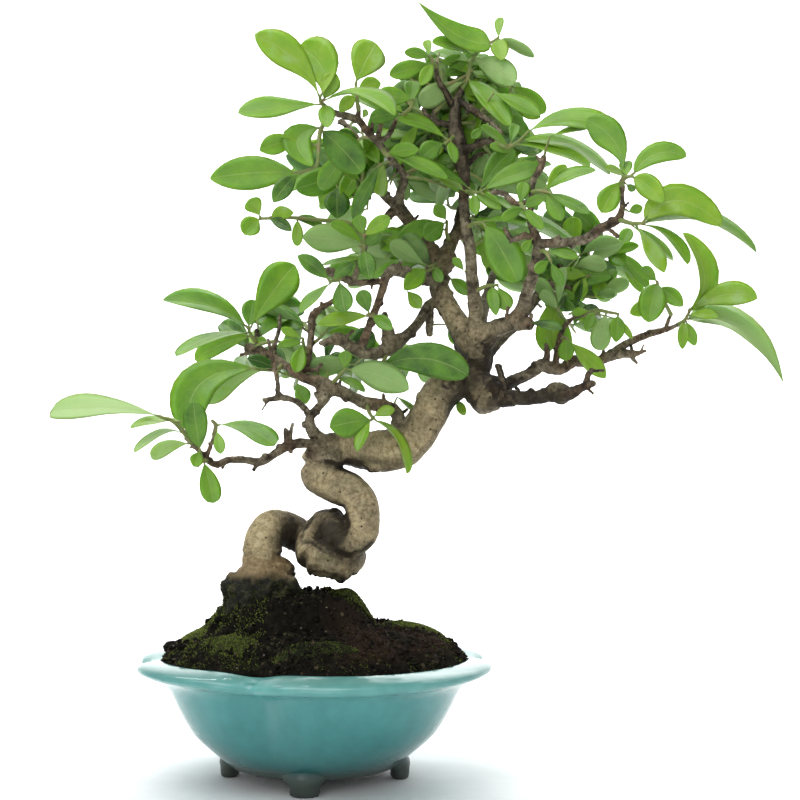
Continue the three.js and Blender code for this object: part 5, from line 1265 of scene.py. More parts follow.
# Each spray is its shoot and its leaves. A shoot is a list of [x, z, y] from inside the
# wood outwards. A leaf is [base x, base z, tip x, tip z, seen width, depth from base to
# tip] and, where it arches, [x, z] of its middle.
sprays = {
    "low_left_tip": (
        [[-53, 141.2, -40.5], [-57, 146.5, -45], [-61, 150.5, -49], [-66, 152.3, -53]],
        [[-66, 152.5, -114, 154.5, 11.5, 10, -90, 156.5], [-58, 150.5, -79.5, 147.5, 3.5, -8],
         [-56.5, 145.3, -77.5, 137, 3.5, -14, -65, 145], [-54.5, 141, -70.5, 135, 7, 6]],
    ),
    "low_left_twig": (
        [[-43.5, 144.5, -39], [-42.8, 149, -41], [-44.5, 151, -43]],
        [[-42.8, 148.8, -17.5, 140, 9, -12, -30, 147.5], [-42.5, 147, -40.5, 136.5, 5, -8]],
    ),
    "low_left_under": (
        [[-46.5, 133.8, -36], [-48.5, 134, -40], [-49.5, 138, -42]],
        [[-49.5, 137.6, -52.5, 159, 10.5, -6], [-48, 134, -43.5, 115.5, 9, -5],
         [-49.7, 138, -52, 131, 6, -8]],
    ),
    "left_fold": (
        [[-14.5, 175.5, 11], [-16, 173, 6], [-21, 172.6, 1], [-26, 173.2, -3]],
        [[-26, 173.3, -54, 146.5, 17, -8, -49.5, 167], [-22, 172.5, -48.5, 158.5, 14, 4, -38.6, 168.5]],
    ),
    "left_burr": (
        [[-25, 184, 19.5], [-27.5, 187, 17], [-29, 190.5, 15]],
        [[-29.5, 191, -66, 202.7, 9, -10, -46, 200.5], [-29, 190.8, -27, 203, 9, 3],
         [-28.5, 190, -9, 218, 17, 6], [-28.5, 188.5, -60, 178.5, 5, -14, -45, 186],
         [-28, 187, -52, 177, 9, 12]],
    ),
    "left_trio": (
        [[23, 231, -5], [14, 236, -12], [0, 237.5, -18], [-12, 238.5, -22], [-24, 238, -26]],
        [[-24, 238, -31, 231, 9, -5], [-24, 238.5, -29, 246.5, 8, -5], [-20, 238.3, -9.5, 240.5, 6, -8],
         [-21, 238, -10.5, 232.5, 5, -6], [-10, 238, 3, 234.5, 4.5, 8], [-8, 238, -8, 226, 5, -5]],
    ),
    "gnarled_riser": (
        [[-3, 180, 9], [-5, 182.5, 5], [-5.5, 186, 2]],
        [[-5, 184, -8.5, 171.5, 7, -6], [-5.3, 184.5, -16.5, 183, 4, -4], [-5.5, 186, -15, 190.5, 4, -3]],
    ),
    "pale_limb": (
        [[25, 196.7, -15.8], [24, 196, -20], [22, 196.5, -23]],
        [[23.5, 196, 1, 192, 6, -5], [23, 196.5, 19, 207, 7, -4], [24, 196, 33, 190, 6, -8]],
    ),
    "pale_side": (
        [[11, 213, -21], [9.5, 211.5, -25], [6, 210.8, -28]],
        [[10, 211.5, 12.5, 197.5, 9, -5], [7, 210.8, -7, 197, 5, -4], [6, 211, -8, 222, 7, -6],
         [7, 211.3, 16, 219, 6, -6]],
    ),
    "low_centre": (
        [[22, 158, 1.5], [23, 154.5, -4], [24.5, 152, -9]],
        [[24, 151, 6, 148, 13, -6], [24.8, 151.5, 39, 128, 4, -9, 35, 142], [24.5, 152.3, 34, 155.5, 5, -5],
         [24, 151.8, 18, 137.5, 5, -10]],
    ),
    "dark_pair": (
        [[30.8, 181, -2], [29, 176, -8], [27, 174, -12]], [[27.5, 174, 65.5, 170, 15, 0, 47, 177.5]]
    ),
    "pale_pair": (
        [[7, 166.5, 0], [10.5, 170.5, -8], [13, 173, -15]],
        [[13.5, 172.7, 40, 164, 13, -7], [12.5, 172.5, 13, 181, 6, -4], [9, 169.3, 21, 163, 4, -8]],
    ),
    "riser_low": (
        [[19.6, 220.5, -15.6], [20.5, 225.5, -20], [20.3, 230.5, -24]],
        [[20.4, 225.5, -6, 230, 12.5, -6], [20.4, 227, 6, 235.5, 5, -10], [20.3, 230.5, 18, 239.5, 6.5, -5],
         [20.4, 230.5, 32, 238.5, 7, -5], [20.4, 225, 23, 211.5, 8, -5], [20.5, 226, 28, 232, 6, -6]],
    ),
    "left_hollow": (
        [[24.5, 259.5, 36.5], [18, 258, 30], [9, 253, 24]],
        [[17, 258.5, -9, 251, 12, -8], [9, 252.5, 9, 238, 11.5, -5], [17.5, 257.5, 11.5, 247, 9, -8]],
    ),
    "left_hanging": (
        [[7, 284.4, -24], [2, 277, -28], [1, 269, -31], [0, 261, -33], [-7, 258, -34]],
        [[-8, 258, -46, 255.5, 15, 6], [-6.5, 258, -18.5, 245, 8, -6],
         [-4.5, 270.3, -24.5, 267.5, 9, -6, -15, 270.8], [0.8, 277.5, -1.5, 260.5, 13.5, -9, -8, 271.5],
         [1.8, 277, 20, 258, 15, 6]],
    ),
    "top_left": (
        [[4.5, 286.3, -25.2], [2, 288.8, -30], [1.5, 291, -33]],
        [[1.5, 287.8, -34, 284, 9, -8, -17, 286.5], [1.5, 290.5, -27, 318.5, 14, -6, -9, 306.5],
         [2, 291, -7.5, 313.5, 19, 4, 2, 303.5], [3, 289.3, 8.5, 301.5, 9, -3],
         [3.2, 289.5, 34, 282.5, 5, -12, 20, 292], [3.5, 288, 5, 277.5, 7.5, -8]],
    ),
    "top_burr": (
        [[18.3, 285, -18], [17.5, 290.5, -20], [17, 296.5, -20]],
        [[17, 297, 26, 314.5, 16, 6], [17.3, 293, 28, 297, 7, -8], [17.5, 291, 10, 284.5, 6, -8]],
    ),
    "upper_hook": (
        [[34.5, 280.5, -4.6], [38, 283.5, -9], [41, 286.5, -12], [42, 289.5, -13]],
        [[42, 290, 26, 291, 9, -6], [41, 287, 42, 298, 8, 6], [37, 283, 23, 281.5, 7, -8],
         [38, 284, 31, 289, 5, 4]],
    ),
    "upper_fork": (
        [[29, 268.3, -7.5], [30, 266, -13], [31, 265, -16]],
        [[30.5, 265.5, 57, 255, 6, -6, 43, 262.5], [30.5, 266, 44.5, 268, 7, -8]],
    ),
    "knot_left": (
        [[60.5, 274.5, 2], [57.5, 272, -4], [55.5, 270.5, -7]],
        [[56.5, 271.2, 45, 264, 9, -6], [57, 272, 35, 281, 6, -6, 46, 279], [58, 272, 60, 262, 5, -10]],
    ),
    "apex_left": (
        [[51.8, 304, -5.4], [50.5, 306.5, -10], [49, 309, -12]],
        [[49.3, 308.5, 38, 310.5, 5, -5], [49, 309, 47.5, 316, 4, 3], [50.8, 305.8, 31.5, 300.5, 8, -8],
         [50.8, 306, 45, 296, 6, -6]],
    ),
    "apex": (
        [[62.6, 293.3, 5], [65.5, 299, 4], [67, 306, 2], [71, 312, 1], [78, 316.3, 0]],
        [[77, 315, 43, 334, 10.5, -4, 61, 318.5], [78.3, 316.5, 80.5, 307, 8, -6],
         [79, 316.5, 79.5, 326, 4, 4], [78.5, 316.3, 94.5, 308.5, 5, -4], [68.5, 308.5, 50, 315, 5, -6],
         [67, 306, 50, 310.5, 5, 10], [67.5, 307, 86, 297, 12, -8], [66.5, 303, 80, 293, 7, 12],
         [65.5, 299, 83.5, 278, 9, -12], [65, 298, 44.5, 288, 10, -8], [66, 301, 54, 306, 5, 16]],
    ),
    "top_right": (
        [[75, 280, -6.6], [79, 283.5, -2], [82.5, 289, 3], [84.5, 295.5, 6]],
        [[84.5, 296, 99, 284, 8, 4], [82.5, 289, 97, 282, 7, -8], [80.5, 285.5, 92, 273, 6, 6]],
    ),
    "knot_right": (
        [[77.5, 271.6, -9.6], [82, 269, -15], [86, 270.5, -19], [91, 275, -22]],
        [[91, 275.5, 128, 277, 9, -10, 109, 281], [87.5, 271.5, 127, 257, 6, 4, 108, 269.5],
         [86, 270.5, 118, 260, 6, -12, 103, 267], [84, 270, 86.5, 279, 5, 4], [83, 269.5, 71, 278, 4, -8]],
    ),
    "fan_top": (
        [[132, 252, -63.6], [132.5, 255.5, -67], [136, 256.5, -70]],
        [[132, 256, 116.5, 281.5, 13.5, 6, 129.5, 271], [136.5, 256.5, 160, 265, 9, -4, 147, 266],
         [136, 256.3, 150, 245, 10, -8], [132, 255.3, 123, 240.5, 10, -4], [134, 256.3, 133.5, 263, 6, 5]],
    ),
    "leader_low": (
        [[65, 234, -3.5], [68.5, 236, -10], [72, 236.3, -15]],
        [[72, 235.5, 87, 210, 16, -6], [72, 236.7, 114, 222.5, 6, -5, 93, 235]],
    ),
    "leader_high": (
        [[63.8, 250, -1.5], [67.5, 249.5, -7], [71, 249.5, -11]],
        [[68, 249.5, 80, 242, 6, -8], [71, 249, 92, 237.5, 4, -4], [71.5, 250, 97, 260, 9, -4],
         [70.5, 250, 86, 268, 10, 4], [68, 249.5, 69, 239.5, 5, -4], [67.5, 250.3, 44, 261.5, 5, -10]],
    ),
    "leader_mid": (
        [[68, 206, -2.2], [73, 208.7, -8], [78, 209.3, -12]],
        [[78, 209.3, 83, 198.5, 7, -3], [75.5, 209, 77.5, 196, 6, -6]],
    ),
    "riser_right": (
        [[93.3, 249.5, -32.4], [96, 250, -38], [100, 249.5, -42]],
        [[98, 249.8, 106, 237, 8, -4], [100, 249.5, 118, 240, 5, -8], [97.5, 250, 121, 259, 5, -6],
         [99, 250, 108, 261.5, 7, 2]],
    ),
    "right_side": (
        [[88.4, 245, -32.3], [89.2, 243, -37], [90, 242, -40]],
        [[89.6, 242.6, 98.5, 247, 5, -5], [89.8, 242.2, 98, 233.5, 5, -3], [89.3, 243, 80, 237.5, 5, -6]],
    ),
    "right_limb": (
        [[96, 224.5, -34], [99, 223.5, -40], [101, 220, -43]],
        [[99.5, 223.5, 113, 221, 5, -6], [101, 220, 94.5, 214.5, 5, -5], [101, 219.7, 106, 208.5, 5, 3]],
    ),
    "right_fan": (
        [[130.3, 237.8, -60.3], [136, 236, -66], [141, 236, -70]],
        [[141, 236.3, 175, 235, 14, -6, 156, 246], [141, 235.8, 190, 223, 6, 8, 166, 237.5],
         [139.5, 235.8, 160, 218, 5, -6, 152, 230], [137.5, 235.8, 150, 214.5, 7, -8],
         [135.5, 236, 154, 220, 5, 10, 145, 227.5]],
    ),
    "right_cluster": (
        [[119.6, 217.5, 59.6], [119, 214.5, 54], [117, 213, 50]],
        [[119, 214.3, 124, 203, 7, -4], [117, 213, 112, 203, 7, -4], [117.3, 213, 106, 214, 6, -5]],
    ),
    "right_dark": (
        [[123.6, 222.3, 63.7], [126, 224, 68]],
        [[126, 224, 140, 206, 7, 6, 134, 217], [125.7, 224, 133, 218, 8, -8], [126, 224.3, 120, 229, 6, 8]],
    ),
    "far_right": (
        [[155.5, 192.1, 41.5], [158.5, 194, 40.5], [160.5, 197.5, 39]],
        [[160.3, 197.5, 158, 232, 8, -4, 167, 213], [160.5, 198.7, 190, 203.3, 10.5, -8, 176, 205.2],
         [159.5, 196, 173, 195, 5, -12], [159, 194.3, 201, 166.5, 10.5, -6, 182, 190],
         [158.5, 193.7, 157.5, 181.5, 5, -6], [159, 194, 163, 183, 5, 4]],
    ),
    "far_right_riser": (
        [[152.8, 196.3, 37.2], [151, 200, 34], [148, 206, 31], [147, 210.5, 29]],
        [[150.5, 200.5, 135, 197, 7, -5], [147, 210.7, 143, 193, 12, -8], [147.5, 208.5, 158, 200, 7, -6],
         [147, 210.5, 139.5, 216, 6, -3]],
    ),
    "low_right_twig": (
        [[115, 196.2, 27], [121, 198.3, 24], [126, 197.5, 21], [130, 196.8, 19]],
        [[125, 197.4, 121.5, 181, 9, -6], [130, 196.6, 129, 184.5, 7, -4], [120, 198, 116, 189.5, 5, -6]],
    ),
    "back_right": (
        [[100, 208, 40.3], [102, 206.5, 33], [104, 203, 29]],
        [[102.3, 206, 99, 180, 11, -8], [104, 202.5, 106, 177, 9, -2]],
    ),
    "twig_right": (
        [[105, 186.5, 19.7], [107.5, 186.5, 14]],
        [[107.7, 186, 124.5, 169, 8, -4], [107.5, 186.3, 107.5, 176.5, 7, -4]],
    ),
    "left_limb": (
        [[52.8, 218.5, 21.6], [50.5, 217.7, 14], [47.5, 216.5, 7]],
        [[48.5, 217, 32, 228, 8.5, -6], [47.5, 216.3, 38, 207, 8, -6], [50, 217.5, 54, 210.5, 5, -8]],
    ),
    "left_trunk": (
        [[57.5, 228, 25.5], [56.3, 232, 18], [56.5, 236.5, 13]],
        [[56.4, 236.5, 47, 229, 9, -5], [56.3, 233, 35, 229, 8, -8], [56.5, 236.7, 51, 244, 6, -6]],
    ),
    "rear_low": (
        [[46.5, 177.2, 63.5], [43.5, 177, 72], [42, 175, 80]],
        [[42, 175, 33, 169, 9, 16], [42.3, 175.3, 52, 169, 10, 18], [43, 176.5, 58, 176, 9, 12],
         [43, 176.8, 36, 180, 8, 14]],
    ),
    "rear_mid": (
        [[78.5, 221, 68], [79.5, 224, 76], [80, 225, 84]],
        [[80, 225, 85, 212, 10, 12], [79.8, 225, 72, 231, 9, 14], [79.5, 224, 76, 211, 9, -10],
         [80, 225, 88, 230, 9, 16]],
    ),
    "rear_left": (
        [[36.7, 221, 72], [35.5, 223, 80], [35, 224, 87]],
        [[35, 224, 46, 226, 9, 14], [35, 224, 26, 222, 9, 13], [35.5, 223, 34, 232, 8, -12],
         [35, 224, 38, 213, 9, 12]],
    ),
    "rear_top": (
        [[79, 258, 62.5], [81, 258.5, 70], [82, 259, 77]],
        [[82, 259, 94, 260, 9, 16], [81.5, 259, 84, 267, 9, 18], [81.5, 258.7, 75, 251, 9, 12],
         [81, 258.5, 92, 253, 8, -8]],
    ),
}

# Leaves that stand out from the rest in the photograph: how far towards young (below 0.5)
# or old (above) a leaf's colour lies, by the place of its tip; tones at 0 and below give the
# palest colour, which is painted sheen, and which also paints light onto a leaf lying in shade
leafTones = [
    (64.5, 172, 0.8), (27, 166, 0.9), (99, 212, 0.9), (-54, 146.5, 0.55), (6, 148, 0.62),
    (-114, 154.5, -0.12), (-79.5, 147.5, 0.1), (-77.5, 137, -0.05), (-70.5, 135, 0.0), (201, 166.5, -0.1),
    (20, 258, 0.76), (-1.5, 260.5, 0.55), (-52.5, 159, 0.74), (-48.5, 158.5, -0.05), (-17.5, 140, 0.6),
    (-43.5, 115.5, 0.55), (138, 224, 0.15), (150, 215, 0.1),
]
# Leaves that turn their pale underside to the front, its pale colour also standing for the
# painted sheen of a shining face: where their middle is seen, and how near counts
paleLeaves = [
    (6, 227, 7), (41, 221, 6), (27.5, 168, 6), (75.6, 301, 6), (51.6, 291, 5), (63, 296, 4), (86, 311, 5),
    (92, 264, 5), (122, 186, 5), (80, 235, 6),
]
# Leaves with an outline of their own, by the place of their tip: where the blade is widest
# and how blunt its tip is
leafOutlines = [
    (44, 331, 0.29, 1.2), (201, 168, 0.42, 1.0), (187, 227, 0.4, 0.95), (-22, 314, 0.45, 0.8),
    (-114, 154.5, 0.76, 0.45), (-43.5, 115.5, 0.72, 0.45), (-17.5, 140, 0.78, 0.4), (-70.5, 135, 0.7, 0.5),
]
crownMiddle = (52, 225, 115, 100)  # x, z and half widths, in mm

bladeForm = {
    "fewStations": [0.0, 0.06, 0.16, 0.28, 0.41, 0.54, 0.66, 0.78, 0.88, 0.95, 1.0],
    "stations": [0.0, 0.05, 0.12, 0.21, 0.31, 0.42, 0.53, 0.63, 0.72, 0.80, 0.87, 0.93, 0.97, 1.0],
    "widest": (0.52, 0.7),  # where along the blade it is widest, from least to most
    "bluntness": (0.5, 0.85),  # of the tip: the smaller, the blunter
    "columns": [-1.0, -0.66, -0.32, 0.0, 0.32, 0.66, 1.0],
    "slender": 0.18,  # least half width as a share of the length
    "thickness": 0.36,
    "fold": 0.30,  # how far the margins stand above the midrib, as a share of the half width
    "petiole": 0.55,
}


def bezier(a, b, c, t):
    return a * (1 - t) ** 2 + 2 * b * t * (1 - t) + c * t * t


def addBlade(heap, base, bend, tip, half, roll, dice, tone, outline=None, stations=bladeForm["stations"]):
    # one leaf as a closed lens with its upper side in slot 0 and its underside in slot 1
    form = bladeForm
    fold = form["fold"] * dice.uniform(0.35, 1.25)
    dice.random()  # passed over, so that every later leaf keeps its shape
    twist = dice.gauss(0, 0.12)
    skew = dice.gauss(0, 0.03)
    wave = dice.uniform(0, 6.3)
    ripple = dice.uniform(0.02, 0.07)
    widest, blunt = outline or (dice.uniform(*form["widest"]), dice.uniform(*form["bluntness"]))
    slim = blunt * widest / (1 - widest)
    widths = [max(0.05 * (1 - t), (t / widest) ** slim * ((1 - t) / (1 - widest)) ** blunt) for t in stations]
    # the blade's own side and face at its middle, which the stations follow
    chord = unit(tip - base)
    sight = unit(bend - eye)
    mainSide = np.cross(chord, sight)
    if np.linalg.norm(mainSide) < 0.25:
        mainSide = np.cross(chord, [1.0, 0.2, 0.1])
    mainSide = unit(mainSide)
    if mainSide[2] < 0:
        mainSide = -mainSide
    tops, lows, uvs = [], [], []
    for share, width in zip(stations, widths):
        place = bezier(base, bend, tip, share)
        axis = unit(
            bezier(base, bend, tip, min(1, share + 0.02)) - bezier(base, bend, tip, max(0, share - 0.02))
        )
        side = unit(mainSide - axis * mainSide.dot(axis))
        away = unit(np.cross(side, axis))
        if away.dot(sight) < 0:
            away = -away
        turn = roll + twist * (share - 0.3)
        across = side * math.cos(turn) + away * math.sin(turn)
        up = np.cross(across, axis)
        if up.dot(sight) > 0:
            up = -up
        if roll < 0:
            up = -up
        w, bulge = half * width, math.sin(math.pi * share)
        row = []
        for u in form["columns"]:
            lift = fold * w * abs(u) ** 1.4
            lift += ripple * half * math.sin(wave + share * 9 + (2.0 if u > 0 else 0)) * abs(u) * bulge
            row.append(place + across * (u * w + skew * half * bulge) + up * lift)
        thick = [
            form["thickness"] * (1 - abs(u) ** 2.2) * (0.55 + 0.45 * (1 - share)) / 2 for u in form["columns"]
        ]
        keel = [0.16 * math.exp(-((u / 0.16) ** 2)) * (1 - share) for u in form["columns"]]
        tops.append([p + up * (t - 0.6 * k) for p, t, k in zip(row, thick, keel)])
        lows.append([p - up * (t + k) for p, t, k in zip(row, thick, keel)])
        uvs.append([(share, 0.5 + u / 2) for u in form["columns"]])
    count = len(form["columns"])
    points, pointUvs, faces, slots = [], [], [], []
    topIndex, lowIndex = [], []
    last = len(tops) - 1
    for r in range(last):
        start = len(points)
        topIndex.append(list(range(start, start + count)))
        lowIndex.append([start, *range(start + count, start + 2 * count - 2), start + count - 1])
        points.extend([*tops[r], *lows[r][1:-1]])
        pointUvs.extend([*uvs[r], *uvs[r][1:-1]])
    end = len(points)
    points.append(bezier(base, bend, tip, 1.0))
    pointUvs.append((1.0, 0.5))
    mirrored = np.cross(tops[5][-1] - tops[5][0], tops[6][3] - tops[5][3]).dot(tops[5][3] - lows[5][3]) < 0
    for r in range(last):
        for c in range(count - 1):
            for slot, (index, a, b) in enumerate([(topIndex, c, c + 1), (lowIndex, c + 1, c)]):
                ahead = (index[r + 1][b], index[r + 1][a]) if r < last - 1 else (end,)
                face = (index[r][a], index[r][b], *ahead)
                faces.append(face[::-1] if mirrored else face)
                slots.append(slot)
    foot = topIndex[0] + lowIndex[0][1:-1][::-1]
    faces.append(tuple(foot) if mirrored else tuple(foot[::-1]))
    slots.append(1)
    heap.add(points, faces, slots, pointUvs, tone)


def addStalk(heap, places, radii, tone=0.5):
    places = [np.array(p, dtype=float) for p in places]
    places = [places[0]] + [b for a, b in zip(places, places[1:]) if np.linalg.norm(b - a) > 0.35]
    if len(places) < 2:
        return
    path = smoothPath(places, 4)
    spread = np.interp(np.linspace(0, 1, len(path)), np.linspace(0, 1, len(radii)), radii)
    heap.add(*tube(path, spread, 8), 2, mark=tone)


def nearestOnShoot(shoot, x, z):
    best = None
    for a, b in zip(shoot, shoot[1:]):
        for share in np.linspace(0, 1, 11):
            point = [p + (q - p) * share for p, q in zip(a, b)]
            distance = math.hypot(point[0] - x, point[1] - z)
            if best is None or distance < best[0]:
                best = (distance, point)
    return best[1]


def toneOf(tx, tz, dice):
    for x, z, tone in leafTones:
        if math.hypot(tx - x, tz - z) < 2.5:
            return tone
    x, z, wide, tall = crownMiddle  # the outer leaves are younger
    away = math.hypot((tx - x) / wide, (tz - z) / tall)
    return min(1.0, max(0.2, dice.gauss(0.6 - 0.3 * smoothstep(away, 0.3, 1.05), 0.15)))


def growLeaf(heap, leaf, shoot, shift, dice):
    bx, bz, tx, tz, width, lean = leaf[:6]
    origin = nearestOnShoot(shoot, bx, bz)
    foot = seen(*origin)
    base = seen(bx, bz, origin[2] - 0.6)
    tip = seen(tx, tz, origin[2] + lean + shift)
    middle = (base + tip) / 2
    if len(leaf) > 6:
        middle = seen(leaf[6], leaf[7], origin[2] + (lean + shift) / 2)
    else:  # even a straight leaf droops a little towards its tip
        length = np.linalg.norm(tip - base)
        middle = middle + np.array([0, 0, 1.0]) * length * dice.uniform(0.0, 0.09)
    bend = 2 * middle - (base + tip) / 2
    length = np.linalg.norm(bend - base) / 2 + np.linalg.norm(tip - bend) / 2 + np.linalg.norm(tip - base) / 2
    seenHalf = width / 2 * (1 - origin[2] / eye[1])
    half = max(seenHalf, bladeForm["slender"] * length)
    roll = math.acos(min(1.0, seenHalf / half))
    mx, mz = asSeen(middle)
    if any(math.hypot(mx - x, mz - z) < near for x, z, near in paleLeaves):
        roll = -max(roll, 0.01)
    outline = next(((w, b) for x, z, w, b in leafOutlines if math.hypot(tx - x, tz - z) < 5), None)
    # the blade starts a short stalk away from the shoot
    if np.linalg.norm(base - foot) < 1.2:
        base = base + (bend - base) / max(1e-6, np.linalg.norm(bend - base)) * min(1.4, 0.07 * length)
    addBlade(heap, base, bend, tip, half, roll, dice, toneOf(tx, tz, dice), outline)
    stalk = [foot, (foot + base) / 2 + [0, 0, 0.15], base, base + (bend - base) * 0.08]
    addStalk(heap, stalk, [0.75, bladeForm["petiole"], 0.5, 0.28])


def shiftOf(cadPoints, leaf, shoot):
    # how far the leaf's tip was moved in depth when the CAD leaf was placed
    origin = nearestOnShoot(shoot, leaf[0], leaf[1])
    shifts = (0, -3, 3, -6, 6, -10, 10)
    tips = [seen(leaf[2], leaf[3], origin[2] + leaf[5] + shift) for shift in shifts]
    gaps = [np.linalg.norm(cadPoints - tip, axis=1).min() for tip in tips]
    best = int(np.argmin(gaps))
    return shifts[best] if gaps[best] < 1.0 else 0


def finishSpray(name, heap, standsFor):
    piece = newPiece(
        name, heap.points, heap.faces, [upperSide, underside, shootSkin], standsFor, heap.slots,
        heap.uvs,
    )
    noteOnPoints(piece.data, "tone", heap.marks)


def makeSprays():
    for number, (name, (shoot, leaves)) in enumerate(sprays.items()):
        dice = random.Random(100 + number)
        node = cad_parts["leaves_" + name]
        cadPoints = np.empty(len(node.data.vertices) * 3)
        node.data.vertices.foreach_get("co", cadPoints)
        cadPoints = (cadPoints.reshape(-1, 3) - potMiddle) * 1000
        heap = Heap()
        addStalk(heap, [seen(*p) for p in shoot], [1.05, 0.95, 0.8, 0.6])
        for leaf in leaves:
            growLeaf(heap, leaf, shoot, shiftOf(cadPoints, leaf, shoot), dice)
        finishSpray("privet_" + name, heap, ["leaves_" + name])


makeSprays()

# More leaves that the photograph shows among the traced sprays: base and tip as they look
# from the front, seen width and share of old colour
strayLeaves = [
    (35, 161, 47, 150, 3, 0.5), (-8, 167, -4, 158, 7, 0.5), (61, 159, 64, 153, 4, 0.1),
    (39, 207, 45, 199, 6, 0.2), (57, 192, 61, 183, 5, 0.5), (93, 193, 106, 190, 4.5, 0.9),
    (-25, 186, -21, 184, 4, 0.5), (16, 233, 6, 237, 2, 0.5), (20, 221, 2, 217.5, 3, 0.5),
    (34, 222, 26, 222, 6, 0.9), (88, 244, 90, 254, 6, 0.6), (93, 229, 89, 224, 4, 0.6),
    (106, 207, 111, 203, 4, 0.6), (58, 212, 67, 205, 6, 0.6), (64, 215, 59, 221, 4, 0.5),
    (68, 238, 78, 234, 5, 0.6), (128, 195, 136, 186, 3, 0.2), (118, 198, 110, 197, 4, 0.4),
    (134, 253, 137.5, 250, 3, 0.8), (135, 241, 141, 243, 4, 0.5), (35, 282, 15, 292, 6, 0.4),
    (20, 281.5, 22, 285.5, 3, 0.3), (72, 277, 67, 273, 4, 0.7), (77, 293, 97, 282.5, 7, 0.5),
    (101, 274, 117, 277, 3, 0.3), (84, 267, 75, 270, 4, 0.5), (135, 256, 125, 260, 3, 0.1),
    (66, 249, 44, 261.5, 6, 0.1),
]

# Where the crown is thick with leaves from the front: the number of leafy twigs there, and
# the outline in mm, as [x, z] corners
thickets = [
    (
        40,
        [
            (30, 300), (52, 312), (74, 310), (92, 296), (104, 282), (124, 272), (130, 258), (122, 244),
            (96, 236), (70, 240), (52, 238), (36, 246), (24, 262), (22, 284),
        ],
    ),
    (
        30,
        [
            (60, 240), (118, 246), (136, 236), (146, 214), (142, 196), (122, 186), (104, 190), (90, 208),
            (66, 214),
        ],
    ),
    (16, [(-30, 262), (-4, 272), (22, 286), (34, 262), (30, 240), (10, 226), (-18, 232), (-30, 246)]),
    (12, [(-20, 234), (16, 238), (50, 234), (58, 216), (40, 206), (18, 208), (0, 212), (-16, 220)]),
    (9, [(-42, 194), (-10, 204), (10, 200), (34, 186), (38, 166), (20, 158), (-14, 160), (-34, 172)]),
]


crownFill = {
    "twigLength": (9, 24),
    "leafLength": (17, 29),
    "depthBehind": 74,  # mm behind the middle of the pot that the leaves may reach
}


def isInside(x, z, outline):
    inside = False
    for (ax, az), (bx, bz) in zip(outline, outline[1:] + outline[:1]):
        if (az > z) != (bz > z) and x < (bx - ax) * (z - az) / (bz - az) + ax:
            inside = not inside
    return inside


def isLeafy(point, outline):
    return point[1] > 3 and isInside(*asSeen(point), outline)


woodPoints = [row for row in barkSamples if row[1] < 4.5 and row[0][2] > 150]
woodSeen = np.array([asSeen(row[0]) for row in woodPoints])


def makeStrays():
    dice = random.Random(77)
    heap = Heap()
    for bx, bz, tx, tz, width, tone in strayLeaves:
        near = int(np.argmin(np.hypot(woodSeen[:, 0] - bx, woodSeen[:, 1] - bz)))
        root = woodPoints[near][0]
        depth = root[1] - 2
        base, tip = seen(bx, bz, depth), seen(tx, tz, depth + dice.uniform(-8, 4))
        length = np.linalg.norm(tip - base)
        bend = (base + tip) / 2 + np.array([0, 0, 0.05 * length])
        half = max(width / 2, 0.2 * length)
        addBlade(heap, base, bend, tip, half, math.acos(min(1, width / 2 / half)), dice, tone)
        addStalk(heap, [root, (root + base) / 2 + [0, 0, 0.4], base], [0.6, 0.45, 0.3])
    finishSpray("privet_stray_leaves", heap, [])


def pairOfLeaves(heap, node, along, across, size, outline, dice):
    # privet leaves stand in pairs, opposite each other
    for hand in (-1, 1):
        out = unit(
            across * hand + along * dice.uniform(0.5, 1.1) + np.array([0, 0, dice.uniform(-0.15, 0.45)])
        )
        length = size * dice.uniform(0.8, 1.2)
        base = node + out * 1.4
        tip = base + out * length + np.array([0, 0, -length * dice.uniform(0.0, 0.3)])
        middle = (base + tip) / 2 + np.array([0, 0, length * dice.uniform(0.02, 0.1)])
        if not (isLeafy(tip, outline) and isLeafy(middle, outline)) or tip[1] > crownFill["depthBehind"]:
            continue
        bend = 2 * middle - (base + tip) / 2
        half = length * dice.uniform(0.18, 0.24)
        tone = min(1, max(0, dice.gauss(0.64, 0.22)))
        roll = dice.uniform(-0.9, 0.9)
        addBlade(heap, base, bend, tip, half, roll, dice, tone, stations=bladeForm["fewStations"])
        addStalk(heap, [node, base, base + out * 0.8], [0.5, 0.4, 0.25])


def fillCrown():
    dice = random.Random(401)
    for part, (count, outline) in enumerate(thickets):
        heap = Heap()
        for _ in range(count):
            for _ in range(60):
                root = woodPoints[dice.randrange(len(woodPoints))][0]
                direction = unit(np.array([dice.gauss(0, 1), dice.gauss(0.8, 0.6), dice.gauss(0.35, 0.7)]))
                reach = dice.uniform(*crownFill["twigLength"])
                end = root + direction * reach
                if isInside(*asSeen(root), outline) and isLeafy(end, outline):
                    break
            else:
                continue
            mid = (root + end) / 2 + np.array(
                [dice.gauss(0, 1), dice.gauss(0, 1), dice.gauss(0.5, 1)]
            ) * reach * 0.08
            addStalk(heap, [root, mid, end], [0.95, 0.7, 0.45])
            across = unit(np.cross(direction, [0.2, 0.1, 1.0]))
            size = dice.uniform(*crownFill["leafLength"])
            for step, share in enumerate((0.5, 0.78, 1.0)):
                node = bezier(root, 2 * mid - (root + end) / 2, end, share)
                turned = across if step % 2 == 0 else np.cross(direction, across)
                pairOfLeaves(heap, node, direction, turned, size * (0.8 + 0.2 * share), outline, dice)
        finishSpray(f"privet_inner_leaves_{part + 1}", heap, [])


makeStrays()
fillCrown()
print("leaves made")

# Moss

